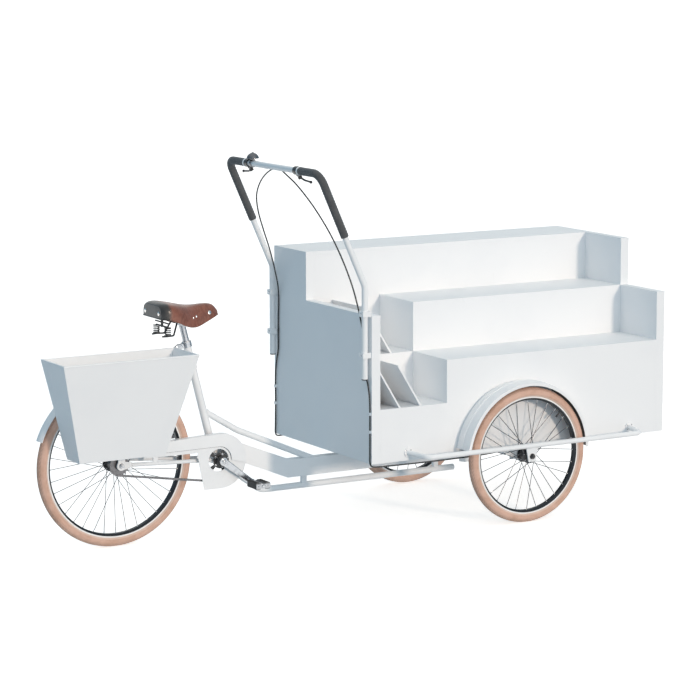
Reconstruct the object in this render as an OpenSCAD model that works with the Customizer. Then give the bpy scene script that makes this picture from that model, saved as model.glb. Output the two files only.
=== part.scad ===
// Pedal cargo tricycle with a stepped display box.
// The rider's half carries the saddle, the drive and the rear wheel. The box, the two front wheels
// and the push hoop form a cart that steers about a kingpin under the box.
// X runs forward, Y to the rider's left, Z up, and the ground is Z = 0.
// Inside the modules x = 0 is the front axle; wheels_to_origin() moves the whole to its origin.

/* [Wheels] */
// Distance from the front axle back to the rear axle
wheelbase = 1637; // [1600:1:1700]
// Outer radius of the rear tyre
rear_r = 330; // [322:1:334]
// Outer radius of a front tyre
front_r = 278; // [272:1:282]
// Distance between the middles of the front tyres
track = 924; // [918:1:930]
// Thickness of a tyre
tyre_d = 42; // [38:1:44]
// Depth from the tread to the rim's seat
tyre_seat = 33; // [30:1:36]
// Width of a rim
rim_w = 30; // [26:1:32]
// Depth of a rim under the tyre
rim_h = 17; // [14:1:22]
// Thickness of a spoke
spoke_d = 2.4; // [2:0.1:3]
// Number of spokes in the rear wheel
rear_spokes = 36; // [28:4:40]
// Number of spokes in a front wheel
front_spokes = 28; // [24:4:36]
// Radius of the front brake drum
drum_r = 50; // [44:1:54]
// Width of a front hub
front_hub_w = 46; // [42:1:50]
// Radius of the rear hub shell
rear_hub_r = 27; // [24:1:30]
// Width of the rear hub
rear_hub_w = 66; // [60:1:70]
// Radius of the front axles
front_axle_r = 6; // [5:0.5:7]
// Radius of the rear axle
rear_axle_r = 5; // [4.5:0.5:6]

/* [Display box] */
// Length of the box
box_len = 1436; // [1400:1:1480]
// Width of the box
box_w = 790; // [784:1:796]
// Distance of the box's rear face behind the front axle
box_back = 698; // [690:1:704]
// Height of the box's lower edge
box_bottom = 296; // [292:1:300]
// Height of the lower shelf
shelf_1 = 689; // [670:1:710]
// Height of the upper shelf
shelf_2 = 892; // [880:1:905]
// Height of the top deck
deck_top = 1092; // [1070:1:1110]
// Depth of the lower shelf
tier_1 = 259; // [245:1:270]
// Depth of the upper shelf
tier_2 = 264; // [250:1:275]
// Thickness of the end panels
end_t = 40; // [34:1:44]
// Thickness of the boards
board_t = 18; // [15:1:20]
// Length of the pockets behind the rear panel
pocket_len = 313; // [290:1:330]
// Height of the lower pocket's floor
pocket_z = 513; // [500:1:530]
// Thickness of the slanted dividers
divider_t = 7; // [5:0.5:9]
// Lean of the dividers from upright
divider_lean = 32; // [28:1:35]
// Distance between two dividers along the box
divider_step = 98; // [90:1:104]

/* [Rider's frame] */
// Distance from the rear axle forward to the bottom bracket
stay_reach = 444; // [438:1:450]
// Height of the bottom bracket
bracket_z = 304; // [298:1:310]
// Angle of the seat tube from level
seat_angle = 75.6; // [74:0.1:77]
// Length of the seat tube
seat_tube_len = 502; // [490:1:515]
// Outer radius of the seat tube
seat_tube_r = 16; // [15:0.5:18]
// Radius of the seat post
post_r = 13.5; // [12.5:0.1:14]
// Height of the main beam's section
beam_h = 73; // [66:1:76]
// Width of the main beam's section
beam_w = 40; // [36:1:46]
// Length of the level stretch of the main beam behind the kingpin
beam_flat = 862; // [850:1:880]
// Slope of the main beam's raised stretch
beam_slope = 22; // [20:0.5:24]
// Wall of the frame's tubes
tube_wall = 2.5; // [2:0.5:3]
// Radius of the upper and lower frame tubes
tube_r = 13; // [11:0.5:14]
// Height of the lower frame tube
low_tube_z = 154; // [146:1:160]
// Distance of the upper tube's bend behind the front axle
upper_bend_x = 1091; // [1080:1:1100]
// Height of the upper tube's bend
upper_bend_z = 410; // [404:1:416]
// Radius of the kingpin
kingpin_r = 20; // [17:0.5:22]

/* [Drive] */
// Length of a crank, centre to centre
crank_len = 158; // [152:1:164]
// Angle of the right crank below level at rest
crank_drop = 36.9; // [30:0.1:45]
// Number of chainring teeth
ring_teeth = 42; // [38:1:44]
// Number of rear sprocket teeth
sprocket_teeth = 20; // [16:1:22]
// Chain pitch
pitch = 12.7; // [12.7]
// Distance of the chain to the right of the middle
chain_y = 48; // [47:0.5:50]
// Radius of the chain guard's round end
guard_lobe = 111; // [108:1:116]

/* [Pannier] */
// Length of the pannier at its top
pannier_len = 574; // [550:1:590]
// Width of the pannier at its top
pannier_w = 210; // [200:1:225]
// Height of the pannier
pannier_h = 399; // [380:1:410]
// Height of the pannier's rim
pannier_top = 782; // [775:1:790]
// How much each end slopes in from top to bottom
pannier_taper = 104; // [90:1:115]
// How much the outer side slopes in from top to bottom
pannier_lean = 96; // [80:1:110]
// Wall of the pannier
pannier_wall = 9; // [6:1:12]

/* [Push hoop] */
// Distance between the two legs of the hoop
hoop_w = 750; // [744:2:754]
// Radius of the hoop's tube
hoop_r = 12.5; // [11.5:0.5:13]
// Height of the legs' lower ends
leg_foot = 640; // [620:1:660]
// Height where the legs start to lean back
leg_bend = 1010; // [1000:1:1020]
// Height of the hoop's top bar
hoop_top = 1462; // [1440:1:1490]
// Lean of the hoop's upper half from upright
hoop_lean = 24.3; // [23:0.1:26]
// Radius of the hoop's upper corners
hoop_corner = 46; // [40:1:50]
// Thickness of the foam on the grips
foam_t = 4; // [3:0.5:5]
// Length of the foam down each leg, measured on the slope
foam_leg = 230; // [210:1:250]
// Distance of the brake lever clamps from the middle
clamp_y = 200; // [190:1:210]

/* [Saddle] */
// Length of the leather top
saddle_len = 282; // [270:1:290]
// Width of the leather top at the rear
saddle_w = 196; // [185:1:205]
// Height of the leather's rear edge
saddle_top = 957; // [945:1:965]
// Thickness of the leather
leather_t = 5; // [4:0.5:6]
// Mean radius of a saddle spring
spring_r = 12; // [11:0.5:14]
// Thickness of the spring wire
spring_wire = 4.4; // [3.8:0.1:4.6]
// Turns of a saddle spring
spring_turns = 3; // [3:1:4]

/* [Hidden] */
$fn = 48;

// Clearances
run_fit = 0.05;
bolt_fit = 0.2;
seat_gap = 0.3;
steer_gap = 3;

// Colours
white = [0.93, 0.94, 0.94];
tan_rubber = [0.84, 0.65, 0.54];
charcoal = [0.16, 0.16, 0.17];
chrome = [0.75, 0.76, 0.78];
brown = [0.42, 0.22, 0.14];
foam_grey = [0.2, 0.21, 0.23];
black = [0.07, 0.07, 0.07];

// Whole tricycle
guard_gap = 17;
guard_t = 3;
guard_r = rear_r + guard_gap;
box_front = box_len - box_back;
pannier_in_y = -77;
pannier_mid_x = -wheelbase - 55;
origin_x = (pannier_len / 2 - pannier_mid_x - box_front) / 2;
half_w = box_w / 2;
half_track = track / 2;
rear_axle_p = [-wheelbase, 0, rear_r];
bracket_p = [-wheelbase + stay_reach, 0, bracket_z];

// Rider's frame
seat_dir = [-cos(seat_angle), 0, sin(seat_angle)];
seat_top = bracket_p + seat_dir * seat_tube_len;
shell_r = 22;
shell_w = 68;
spindle_r = 12;
under_h = 25;
beam_top = box_bottom - under_h - steer_gap;
beam_bottom = beam_top - beam_h;
head_r = kingpin_r + 12;
stay_r = 8;
stay_in_y = 24;
drop_y = 62;
drop_t = 6;
stay_len = 398;
stay_top = bracket_p + seat_dir * stay_len;
seat_stay_y = 25;
seat_stay_r = 7;
bridge_r = 8;
upper_foot_x = 711;
upper_sink = 22;
low_bend_x = 985;

// Wheels
rear_rim_in = rear_r - tyre_seat - rim_h;
front_rim_in = front_r - tyre_seat - rim_h;
rear_flange_r = 37;
front_flange_r = drum_r + 8;
nipple_gap = 0.45;

// Drive
ring_pitch_r = pitch / 2 / sin(180 / ring_teeth);
sprocket_pitch_r = pitch / 2 / sin(180 / sprocket_teeth);
tooth_h = 3;
tooth_t = 2.2;
plate_gap = tooth_t + 2 * seat_gap;
plate_t = 1.2;
plate_h = 8;
roller_d = 7.8;
guard_y = chain_y + 12;
guard_sheet = 2;
arm_t = 14;
arm_in_y = guard_y + guard_sheet + 4;
left_in_y = 52;
guard_arm = stay_reach - 100;
pedal_len = 92;
pedal_w = 62;
pedal_h = 24;
pedal_pin_r = 6;
right_pedal_p = bracket_p + crank_len * [cos(crank_drop), 0, -sin(crank_drop)];
left_pedal_p = bracket_p - crank_len * [cos(crank_drop), 0, -sin(crank_drop)];

// Display box
riser_2 = -half_w + tier_1;
riser_3 = riser_2 + tier_2;
pocket_x0 = -box_back + end_t;
pocket_x1 = pocket_x0 + pocket_len;
inner_x1 = box_front - end_t;
under_z = box_bottom - under_h;
rail_y = half_track + 38;
rail_r = 10.5;
rail_z = front_r + 44;
rail_rear = 495;
rail_front = 546;
plate_axle_t = 5;
front_guard_r = front_r + 25;
front_guard_out = rail_y - rail_r - 2;

// Push hoop
leg_gap = 8;
leg_x = -box_back - hoop_r - leg_gap;
hoop_half = hoop_w / 2;
bar_x = leg_x - (hoop_top - leg_bend) * tan(hoop_lean);
slope_dir = [-sin(hoop_lean), 0, cos(hoop_lean)];
hoop_down = -slope_dir;
clamp_w = 22;
lever_drop = 30;
lever_len = (hoop_half - clamp_y) * 0.434;
lever_pin_r = 3;
foam_start = clamp_y + clamp_w / 2 + 3;
foam_r = hoop_r + foam_t;
bell_y = 165;
bell_r = 24;
cable_r = 2.5;

// Saddle
post_show = 74;
post_top = seat_top + seat_dir * post_show;
saddle_rear_x = post_top[0] - 128;
spring_h = 22;

// Straight and bent round bars
function unit(v) = v / norm(v);
function turn_at(p, i) = acos(unit(p[i] - p[i - 1]) * unit(p[i + 1] - p[i]));
function trim(p, i, bend) = bend * tan(turn_at(p, i) / 2);

module wheels_to_origin() translate([origin_x, 0, 0]) children();

module place(o, x, y, z)
  multmatrix([[x[0], y[0], z[0], o[0]], [x[1], y[1], z[1], o[1]], [x[2], y[2], z[2], o[2]], [0, 0, 0, 1]])
    children();

module bar(a, b, r) {
  z = unit(b - a);
  x = unit(cross(abs(z[2]) < 0.9 ? [0, 0, 1] : [1, 0, 0], z));
  place(a, x, cross(z, x), z) cylinder(r = r, h = norm(b - a));
}

// A bend is a touch thicker than its straights, which run a little way into it
joint_lap = 0.4;
joint_step = 0.04;

module elbow(p, u, v, r, bend) {
  turn = acos(u * v);
  inward = cross(unit(cross(u, v)), u);
  centre = p - u * bend * tan(turn / 2) + inward * bend;
  place(centre, -inward, u, cross(-inward, u))
    rotate_extrude(angle = turn) translate([bend, 0]) circle(r = r + joint_step);
}

module pipe(p, r, bend) {
  last = len(p) - 1;
  for (i = [0:last - 1]) {
    u = unit(p[i + 1] - p[i]);
    a = i == 0 ? p[0] : p[i] + u * (trim(p, i, bend) - joint_lap);
    b = i == last - 1 ? p[last] : p[i + 1] - u * (trim(p, i + 1, bend) - joint_lap);
    bar(a, b, r);
  }
  if (last > 1)
    for (i = [1:last - 1]) elbow(p[i], unit(p[i] - p[i - 1]), unit(p[i + 1] - p[i]), r, bend);
}

// The same path with both ends lengthened, so a bore opens at the ends
function longer(p, d) = let (last = len(p) - 1)
  [for (i = [0:last]) i == 0 ? p[0] - unit(p[1] - p[0]) * d
    : i == last ? p[last] + unit(p[last] - p[last - 1]) * d : p[i]];

module tube(p, r, wall, bend) difference() {
  pipe(p, r, bend);
  pipe(longer(p, 1), r - wall, bend);
}

module across(y0, y1, r) translate([0, y1, 0]) rotate([90, 0, 0]) cylinder(r = r, h = y1 - y0);

module block(a, b) translate(a) cube(b - a);

module both_sides() {
  children();
  mirror([0, 1, 0]) children();
}

// A flat outline in X and Z, given a thickness from y0 to y1
module plate_y(y0, y1) translate([0, y1, 0]) rotate([90, 0, 0]) linear_extrude(y1 - y0) children();

// Swept round cords and wires
function tangents(p) = [for (i = [0:len(p) - 1]) unit(p[min(i + 1, len(p) - 1)] - p[max(i - 1, 0)])];
function square_to(n, t) = unit(n - t * (n * t));
function normals(t, n0) = let (last = len(t) - 1)
  [for (i = 0, n = square_to(n0, t[0]); i <= last; n = square_to(n, t[min(i + 1, last)]), i = i + 1) n];

module cord(p, r, sides, n0) {
  t = tangents(p);
  n = normals(t, n0);
  last = len(p) - 1;
  rings = [for (i = [0:last]) for (k = [0:sides - 1])
    p[i] + r * (cos(360 * k / sides) * n[i] + sin(360 * k / sides) * cross(t[i], n[i]))];
  walls = [for (i = [0:last - 1]) for (k = [0:sides - 1]) let (m = (k + 1) % sides, a = i * sides)
    each [[a + k, a + sides + k, a + m], [a + m, a + sides + k, a + sides + m]]];
  start = [for (k = [1:sides - 2]) [0, k, k + 1]];
  end = [for (k = [1:sides - 2]) [last * sides, last * sides + k + 1, last * sides + k]];
  polyhedron(rings, concat(walls, start, end));
}

// A point on the smooth curve through four route points
function curve(a, b, c, d, t) = 0.5 * (2 * b + (c - a) * t + (2 * a - 5 * b + 4 * c - d) * t * t
  + (3 * b - 3 * c + d - a) * t * t * t);
function smooth(p, steps) = let (last = len(p) - 1) concat(
  [for (i = [0:last - 1]) for (s = [0:steps - 1])
    curve(p[max(i - 1, 0)], p[i], p[i + 1], p[min(i + 2, last)], s / steps)], [p[last]]);

// Routes of the two brake cables, from a lever along the bar, down the rear panel and under the box
lead_x = bar_x + 20;
lead_y = clamp_y - 16.4;
right_route = [[lead_x, lead_y, hoop_top - 4], [lead_x + 1, 120, hoop_top - 2], [lead_x + 2, 40, hoop_top - 3],
  [lead_x + 3, -20, hoop_top - 11], [lead_x + 6, -75, hoop_top - 32], [-884, -138, 1392],
  [-855, -208, 1318], [-812, -250, 1225], [-772, -266, 1138], [-739, -272, 1060], [-716, -286, 980],
  [-705, -312, 890], [-703, -342, 800], [-703, -354, 740], [-703, -355, 660], [-703, -375, 610],
  [-703, -388, 545], [-703, -389, 428], [-703, -389, 335], [-703, -389.5, 306], [-697.7, -390.3, 290.3],
  [-685, -391.5, 285], [-660, -395, 284], [-620, -400, 284], [-420, -407, 284], [-220, -413, 287],
  [-90, -421, 296]];
left_route = [[lead_x, -lead_y, hoop_top - 4], [lead_x + 6, -120, hoop_top - 1],
  [lead_x + 11, -40, hoop_top - 2], [lead_x + 13, 40, hoop_top - 11], [lead_x + 14, 110, hoop_top - 36], [-882, 178, 1383],
  [-866, 238, 1324], [-843, 267, 1255], [-812, 283, 1180], [-780, 294, 1105], [-754, 307, 1040],
  [-731, 323, 980], [-712, 338, 925], [-703.5, 349, 870], [-703, 353, 800], [-703, 354, 740], [-703, 355, 660],
  [-703, 370, 610], [-703, 380, 545], [-703, 380, 428], [-703, 382, 335], [-703, 383.5, 306],
  [-697.7, 385.5, 290.3], [-685, 388, 285], [-660, 393.5, 284], [-620, 400, 284], [-420, 407, 284],
  [-220, 413, 287], [-90, 421, 296]];
cable_steps = 2;

// Rider's frame
module seat_tube_bar(r) bar(bracket_p, seat_top, r);
module shell_bar(r) translate(bracket_p) across(-shell_w / 2, shell_w / 2, r);

// Side outline of the main beam, with half its height added on each side of its middle line
function beam_outline(half) = let (
    mid = (beam_top + beam_bottom) / 2, shift = half * tan(beam_slope / 2),
    far = -bracket_p[0] + 12, rise = (far - beam_flat) * tan(beam_slope), lift = half / cos(beam_slope))
  [[0, mid + half], [-beam_flat + shift, mid + half], [-far, mid + rise + lift],
   [-far, mid + rise - lift], [-beam_flat - shift, mid - half], [0, mid - half]];

module beam_solid(half, w) plate_y(-w / 2, w / 2) polygon(beam_outline(half));

module main_beam() color(white) wheels_to_origin() difference() {
  union() {
    difference() {
      beam_solid(beam_h / 2, beam_w);
      difference() {
        beam_solid(beam_h / 2 - tube_wall, beam_w - 2 * tube_wall);
        translate([0, 0, beam_bottom]) cylinder(r = head_r - 1, h = beam_h);
      }
    }
    translate([0, 0, beam_bottom]) cylinder(r = head_r, h = beam_h);
  }
  translate([0, 0, beam_bottom - 1]) cylinder(r = kingpin_r + run_fit, h = beam_h + 2);
  seat_tube_bar(seat_tube_r);
  shell_bar(shell_r);
}

module upper_tube() color(white) wheels_to_origin() difference() {
  top = bracket_p + seat_dir * 206;
  path = [top, [-upper_bend_x, 0, upper_bend_z], [-upper_foot_x, 0, beam_top - upper_sink]];
  tube(path, tube_r, tube_wall, 90);
  seat_tube_bar(seat_tube_r);
  beam_solid(beam_h / 2, beam_w);
}

module lower_tube() color(white) wheels_to_origin() {
  difference() {
    tube([bracket_p, [-low_bend_x, 0, low_tube_z], [-60, 0, low_tube_z]], tube_r, tube_wall, 70);
    shell_bar(shell_r);
    beam_solid(beam_h / 2, beam_w);
  }
  for (x = [-785, -150]) difference() {
    block([x - 11, -8, low_tube_z], [x + 11, 8, beam_bottom]);
    bar([x - 12, 0, low_tube_z], [x + 12, 0, low_tube_z], tube_r - 1);
  }
}

module seat_tube() color(white) wheels_to_origin() difference() {
  union() {
    seat_tube_bar(seat_tube_r);
    shell_bar(shell_r);
  }
  bar(bracket_p + seat_dir * 60, seat_top + seat_dir, post_r + run_fit);
  translate(bracket_p) across(-shell_w / 2 - 1, shell_w / 2 + 1, spindle_r + run_fit);
}

module drop_plate() plate_y(drop_y - drop_t / 2, drop_y + drop_t / 2)
  translate([rear_axle_p[0], rear_axle_p[2]]) difference() {
    union() {
      circle(r = 19);
      polygon([[0, 19], [0, -19], [46, -8], [46, 10]]);
      polygon([[-15, 10], [-10, 46], [12, 46], [16, 10]]);
    }
    circle(r = rear_axle_r + bolt_fit);
  }

module chain_stays() color(white) wheels_to_origin() both_sides() difference() {
  drop_end = rear_axle_p + [44, drop_y, 0];
  union() {
    bar(bracket_p + [0, stay_in_y, 0], drop_end, stay_r);
    drop_plate();
  }
  shell_bar(shell_r);
  translate(rear_axle_p) across(0, drop_y * 2, rear_axle_r + bolt_fit);
}

module seat_stays() color(white) wheels_to_origin() difference() {
  union() {
    both_sides() bar(rear_axle_p + [16, drop_y, 30], stay_top + [0, seat_stay_y, 0], seat_stay_r);
    translate(stay_top) across(-seat_stay_y - seat_stay_r, seat_stay_y + seat_stay_r, bridge_r);
  }
  seat_tube_bar(seat_tube_r);
  both_sides() drop_plate();
}

// A crowned strip bent round a wheel, from the angle a0 to a1 counted up from the rear
module guard_strip(r, w, t, crown, a0, a1) {
  steps = 8;
  ys = [for (i = [0:steps]) w * (i / steps - 0.5)];
  drop = [for (y = ys) crown * pow(2 * y / w, 2)];
  rotate([90, 0, 0]) rotate([0, 0, 180 - a1]) rotate_extrude(angle = a1 - a0, $fn = 72)
    polygon(concat([for (i = [0:steps]) [r + t - drop[i], ys[i]]],
      [for (i = [steps:-1:0]) [r - drop[i], ys[i]]]));
}

module rear_mudguard() color(white) wheels_to_origin() {
  stay_a = 62;
  guard_w = 50;
  crown = 9;
  stay_y = 21;
  // The stays end inside the strip's own thickness
  stay_end = guard_r + guard_t / 2 - crown * pow(2 * stay_y / guard_w, 2);
  guard_edge = rear_axle_p + stay_end * [-cos(stay_a), 0, sin(stay_a)];
  translate(rear_axle_p) guard_strip(guard_r, guard_w, guard_t, crown, 20, 128);
  both_sides() difference() {
    bar(rear_axle_p + [-2, drop_y - 4, 36], guard_edge + [0, stay_y, 0], 2.5);
    drop_plate();
  }
}

// Outline of the chain guard about the bottom bracket
window_p = [-12, 4];
window_r = 45;
guard_recess = 5;
groove_z = 60;

module chain_guard_face() difference() {
  union() {
    circle(r = guard_lobe);
    polygon([[0, guard_lobe], [-guard_arm, 98], [-guard_arm, 44], [-100, 42], [-60, 0], [0, 0]]);
    polygon([[0, 0], [-guard_lobe * cos(10), guard_lobe * sin(10)], [-76, -guard_lobe], [0, -guard_lobe]]);
  }
  polygon([[-150, 42], [-104, 20], [-100, 0], [-78, -guard_lobe], [-90, -160], [-200, -160], [-200, 42]]);
  translate(window_p) circle(r = window_r);
}

// The part of the face that lies further in than the band along its top and front
module guard_low_part() {
  translate(window_p) circle(r = window_r + 11);
  polygon([[-guard_arm - 1, groove_z - 2], [window_p[0], groove_z], [window_p[0], -guard_lobe - 1],
    [-guard_arm - 1, -guard_lobe - 1]]);
  polygon([[window_p[0] - 1, 4], [window_p[0] + window_r, 4], [guard_lobe + 1, -16],
    [guard_lobe + 1, -guard_lobe - 1], [window_p[0] - 1, -guard_lobe - 1]]);
}

module chain_guard() color(white) wheels_to_origin() difference() {
  tab_x = -292;
  face_in = -guard_y + guard_recess;
  translate(bracket_p) {
    plate_y(face_in - guard_sheet, face_in) chain_guard_face();
    plate_y(-guard_y - guard_sheet, face_in) difference() {
      chain_guard_face();
      guard_low_part();
    }
    plate_y(face_in - guard_sheet, -chain_y + 16) intersection() {
      difference() {
        circle(r = guard_lobe);
        circle(r = guard_lobe - guard_sheet);
      }
      polygon([[0, 0], [0, 2 * guard_lobe], [2 * guard_lobe, 2 * guard_lobe], [2 * guard_lobe, -60]]);
    }
    plate_y(face_in - guard_sheet, -chain_y + 16) polygon([[0, guard_lobe], [-guard_arm, 98],
      [-guard_arm, 98 - guard_sheet], [0, guard_lobe - guard_sheet]]);
    block([tab_x - 10, face_in - 0.5, 22], [tab_x + 10, -guard_y + 10, 62]);
  }
  bar(bracket_p + [0, -stay_in_y, 0], rear_axle_p + [44, -drop_y, 0], stay_r);
}

// Chain path about the bottom bracket: two circles and their outer tangents
axle_v = [rear_axle_p[0] - bracket_p[0], rear_axle_p[2] - bracket_p[2]];
axle_d = norm(axle_v);
belt_tilt = asin((ring_pitch_r - sprocket_pitch_r) / axle_d);
belt_turn = atan2(axle_v[1], axle_v[0]);
function spot(a) = [cos(a), sin(a)];
upper_a = belt_turn - 90 + belt_tilt;
lower_a = belt_turn + 90 - belt_tilt;

run_len = axle_d * cos(belt_tilt);

// A ring's part between two angles
module ring_part(r, a0, a1) {
  far = 3 * r;
  steps = 6;
  intersection() {
    difference() {
      circle(r = r + plate_h / 2 + joint_step, $fn = 96);
      circle(r = r - plate_h / 2 - joint_step, $fn = 96);
    }
    polygon(concat([[0, 0]], [for (i = [0:steps]) far * spot(a0 + (a1 - a0) * i / steps)]));
  }
}

// One straight run of a chain plate, which runs a little way into the bends
module run_part(a) {
  along = unit(axle_v + (sprocket_pitch_r - ring_pitch_r) * spot(a));
  p = ring_pitch_r * spot(a) - joint_lap * along;
  q = p + (run_len + 2 * joint_lap) * along;
  polygon([p + plate_h / 2 * spot(a), q + plate_h / 2 * spot(a), q - plate_h / 2 * spot(a), p - plate_h / 2 * spot(a)]);
}

module plate_loop() {
  ring_part(ring_pitch_r, lower_a - 360, upper_a);
  translate(axle_v) ring_part(sprocket_pitch_r, upper_a, lower_a);
  run_part(upper_a);
  run_part(lower_a);
}

// Distance of the rollers from the places where the chain meets the teeth
roller_clear = 40;

module chain() color(chrome) wheels_to_origin() translate(bracket_p) {
  for (s = [-1, 1]) {
    y = -chain_y + s * (plate_gap + plate_t) / 2;
    plate_y(y - plate_t / 2, y + plate_t / 2) plate_loop();
  }
  for (a = [upper_a, lower_a]) for (d = [roller_clear:pitch:run_len - roller_clear]) {
    along = unit(axle_v + (sprocket_pitch_r - ring_pitch_r) * spot(a));
    p = ring_pitch_r * spot(a) + d * along;
    translate([p[0], 0, p[1]]) across(-chain_y - plate_gap / 2 - plate_t / 2, -chain_y + plate_gap / 2 + plate_t / 2,
      roller_d / 2, $fn = 8);
  }
}

// A toothed disc with a tooth pointing along +X
module toothed(teeth, pitch_r) {
  step = 360 / teeth;
  root = pitch_r - tooth_h;
  tip = pitch_r + tooth_h;
  polygon([for (i = [0:teeth - 1]) for (q = [[-0.32, root], [-0.12, tip], [0.12, tip], [0.32, root]])
    q[1] * spot((i + q[0]) * step)]);
}

module rear_sprocket() color(chrome) wheels_to_origin() translate(rear_axle_p) difference() {
  union() {
    plate_y(-chain_y - tooth_t / 2, -chain_y + tooth_t / 2) toothed(sprocket_teeth, sprocket_pitch_r);
    across(-chain_y - 5, -rear_hub_w / 2 - 1, 17);
  }
  across(-chain_y - 10, 0, rear_axle_r + run_fit);
}

module rear_axle() color(chrome) wheels_to_origin() translate(rear_axle_p) {
  nut_y = drop_y + drop_t / 2;
  across(-nut_y - 14, nut_y + 14, rear_axle_r);
  both_sides() {
    across(nut_y, nut_y + 2, 11);
    across(nut_y + 2, nut_y + 10, 9, $fn = 6);
  }
  across(-drop_y + drop_t / 2, -chain_y - 5 - seat_gap, 8);
  across(rear_hub_w / 2 + seat_gap, drop_y - drop_t / 2, 8);
}

module pannier_rack() color(white) wheels_to_origin() difference() {
  rack_y = 64;
  rack_z = pannier_top - 76;
  rack_r = 5;
  back_x = rear_axle_p[0] - 250;
  front_x = rear_axle_p[0] + 225;
  union() {
    pipe([stay_top + [0, -20, 0], [front_x, -rack_y, rack_z], [back_x, -rack_y, rack_z],
      [back_x, rack_y, rack_z], [front_x, rack_y, rack_z], stay_top + [0, 20, 0]], rack_r, 30);
    for (dx = [-170, 0, 160]) bar(rear_axle_p + [dx, -rack_y, rack_z - rear_axle_p[2]],
      rear_axle_p + [dx, rack_y, rack_z - rear_axle_p[2]], 4);
    both_sides() {
      bar([rear_axle_p[0] + 2, drop_y + drop_t / 2 + rack_r, rear_axle_p[2] + 26],
        [rear_axle_p[0] + 2, rack_y, rack_z], rack_r);
    }
  }
  translate(stay_top) across(-60, 60, bridge_r);
  seat_tube_bar(seat_tube_r);
  both_sides() bar(rear_axle_p + [16, drop_y, 30], stay_top + [0, seat_stay_y, 0], seat_stay_r);
}

// Open box with a sloped outer side and sloped ends; inner = true gives its hollow
pannier_box_faces = [[0, 1, 2, 3], [4, 7, 6, 5], [0, 4, 5, 1], [1, 5, 6, 2], [2, 6, 7, 3], [3, 7, 4, 0]];

module pannier_form(inset, floor_up, over) {
  low_z = pannier_top - pannier_h;
  function level(z) = let (f = (pannier_top - z) / pannier_h,
      hx = pannier_len / 2 - pannier_taper * f - inset, y0 = pannier_in_y - inset,
      y1 = pannier_in_y - pannier_w + pannier_lean * f + inset)
    [[pannier_mid_x - hx, y1, z], [pannier_mid_x + hx, y1, z], [pannier_mid_x + hx, y0, z], [pannier_mid_x - hx, y0, z]];
  polyhedron(concat(level(low_z + floor_up), level(pannier_top + over)), pannier_box_faces);
}

module pannier_box() color(white) wheels_to_origin() {
  difference() {
    pannier_form(0, 0, 0);
    pannier_form(pannier_wall, pannier_wall, 2);
  }
  for (dx = [-120, 110]) block([pannier_mid_x + dx - 15, pannier_in_y, pannier_top - 96],
    [pannier_mid_x + dx + 15, -69 - seat_gap, pannier_top - 56]);
}

module seat_clamp() color(chrome) wheels_to_origin() difference() {
  top = seat_top;
  side = [sin(seat_angle), 0, cos(seat_angle)];
  union() {
    bar(top - seat_dir * 24, top - seat_dir * 2, seat_tube_r + 4);
    place(top - seat_dir * 13, -side, [0, 1, 0], seat_dir)
      translate([seat_tube_r, -9, -9]) cube([20, 18, 18]);
  }
  bar(top - seat_dir * 30, top + seat_dir, seat_tube_r);
  place(top - seat_dir * 13, -side, [0, 1, 0], seat_dir) translate([seat_tube_r, -1.5, -12]) cube([22, 3, 24]);
}

// Cart: the frame of channels under the box, with the kingpin and the inner axle plates
channel_t = 3;

// A channel open below; long = true closes it across Y and leaves its ends along X open
module channel(a, b, long) difference() {
  block(a, b);
  block([a[0] + (long ? -1 : channel_t), a[1] + (long ? channel_t : -1), a[2] - 1],
    [b[0] + (long ? 1 : -channel_t), b[1] + (long ? -channel_t : 1), b[2] - channel_t]);
}

// Places of the channels, measured from the front axle
runner_y = 210;
runner_w = 40;
runner_rear = -600;
runner_front = 640;
axle_plate_half = 34;

module cart_underframe() color(white) wheels_to_origin() difference() {
  hang_z = min(front_r - 26, under_z);
  hang_top = max(front_r + 18, box_bottom);
  union() {
    both_sides() channel([runner_rear, runner_y, under_z],
      [runner_front, runner_y + runner_w, box_bottom], true);
    for (x = [runner_rear, runner_front - runner_w]) channel([x, -runner_y - 2, under_z],
      [x + runner_w, runner_y + 2, box_bottom], false);
    channel([-60, -half_w, under_z], [60, half_w, box_bottom], false);
    both_sides() block([-axle_plate_half, half_w - 8, hang_z], [axle_plate_half, half_w + 6, box_bottom]);
    both_sides() block([-axle_plate_half, half_w, hang_z], [axle_plate_half, half_w + 6, hang_top]);
    translate([0, 0, beam_bottom - 22]) cylinder(r = kingpin_r, h = box_bottom - 1 - beam_bottom + 22);
    translate([0, 0, beam_bottom - 22]) cylinder(r = kingpin_r + 8, h = 20, $fn = 6);
    translate([0, 0, beam_top + seat_gap]) cylinder(r = kingpin_r + 9, h = box_bottom - 1 - beam_top - seat_gap);
  }
  both_sides() translate([0, 0, front_r]) across(half_w - 1, half_w + 7, front_axle_r + bolt_fit);
}

module outer_rails() color(white) wheels_to_origin() both_sides() {
  path = [[-rail_rear - 40, half_w - 20, rail_z + 8], [-rail_rear, rail_y, rail_z],
    [rail_front, rail_y, rail_z], [rail_front + 20, half_w - 20, rail_z + 8]];
  difference() {
    union() {
      tube(path, rail_r, 2, 28);
      translate([-rail_rear - 33, 0, rail_z + 7]) across(half_w, half_w + 4, 19);
      translate([rail_front + 17, 0, rail_z + 7]) across(half_w, half_w + 4, 19);
    }
    block([-box_back, 0, 0], [box_front, half_w, deck_top]);
  }
  difference() {
    plate_y(rail_y - plate_axle_t / 2, rail_y + plate_axle_t / 2)
      polygon([[-30, rail_z], [30, rail_z], [17, front_r - 22], [-17, front_r - 22]]);
    translate([0, 0, front_r]) across(rail_y - 9, rail_y + 9, front_axle_r + bolt_fit);
    bar([-40, rail_y, rail_z], [40, rail_y, rail_z], rail_r - 0.5);
  }
}

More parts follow.
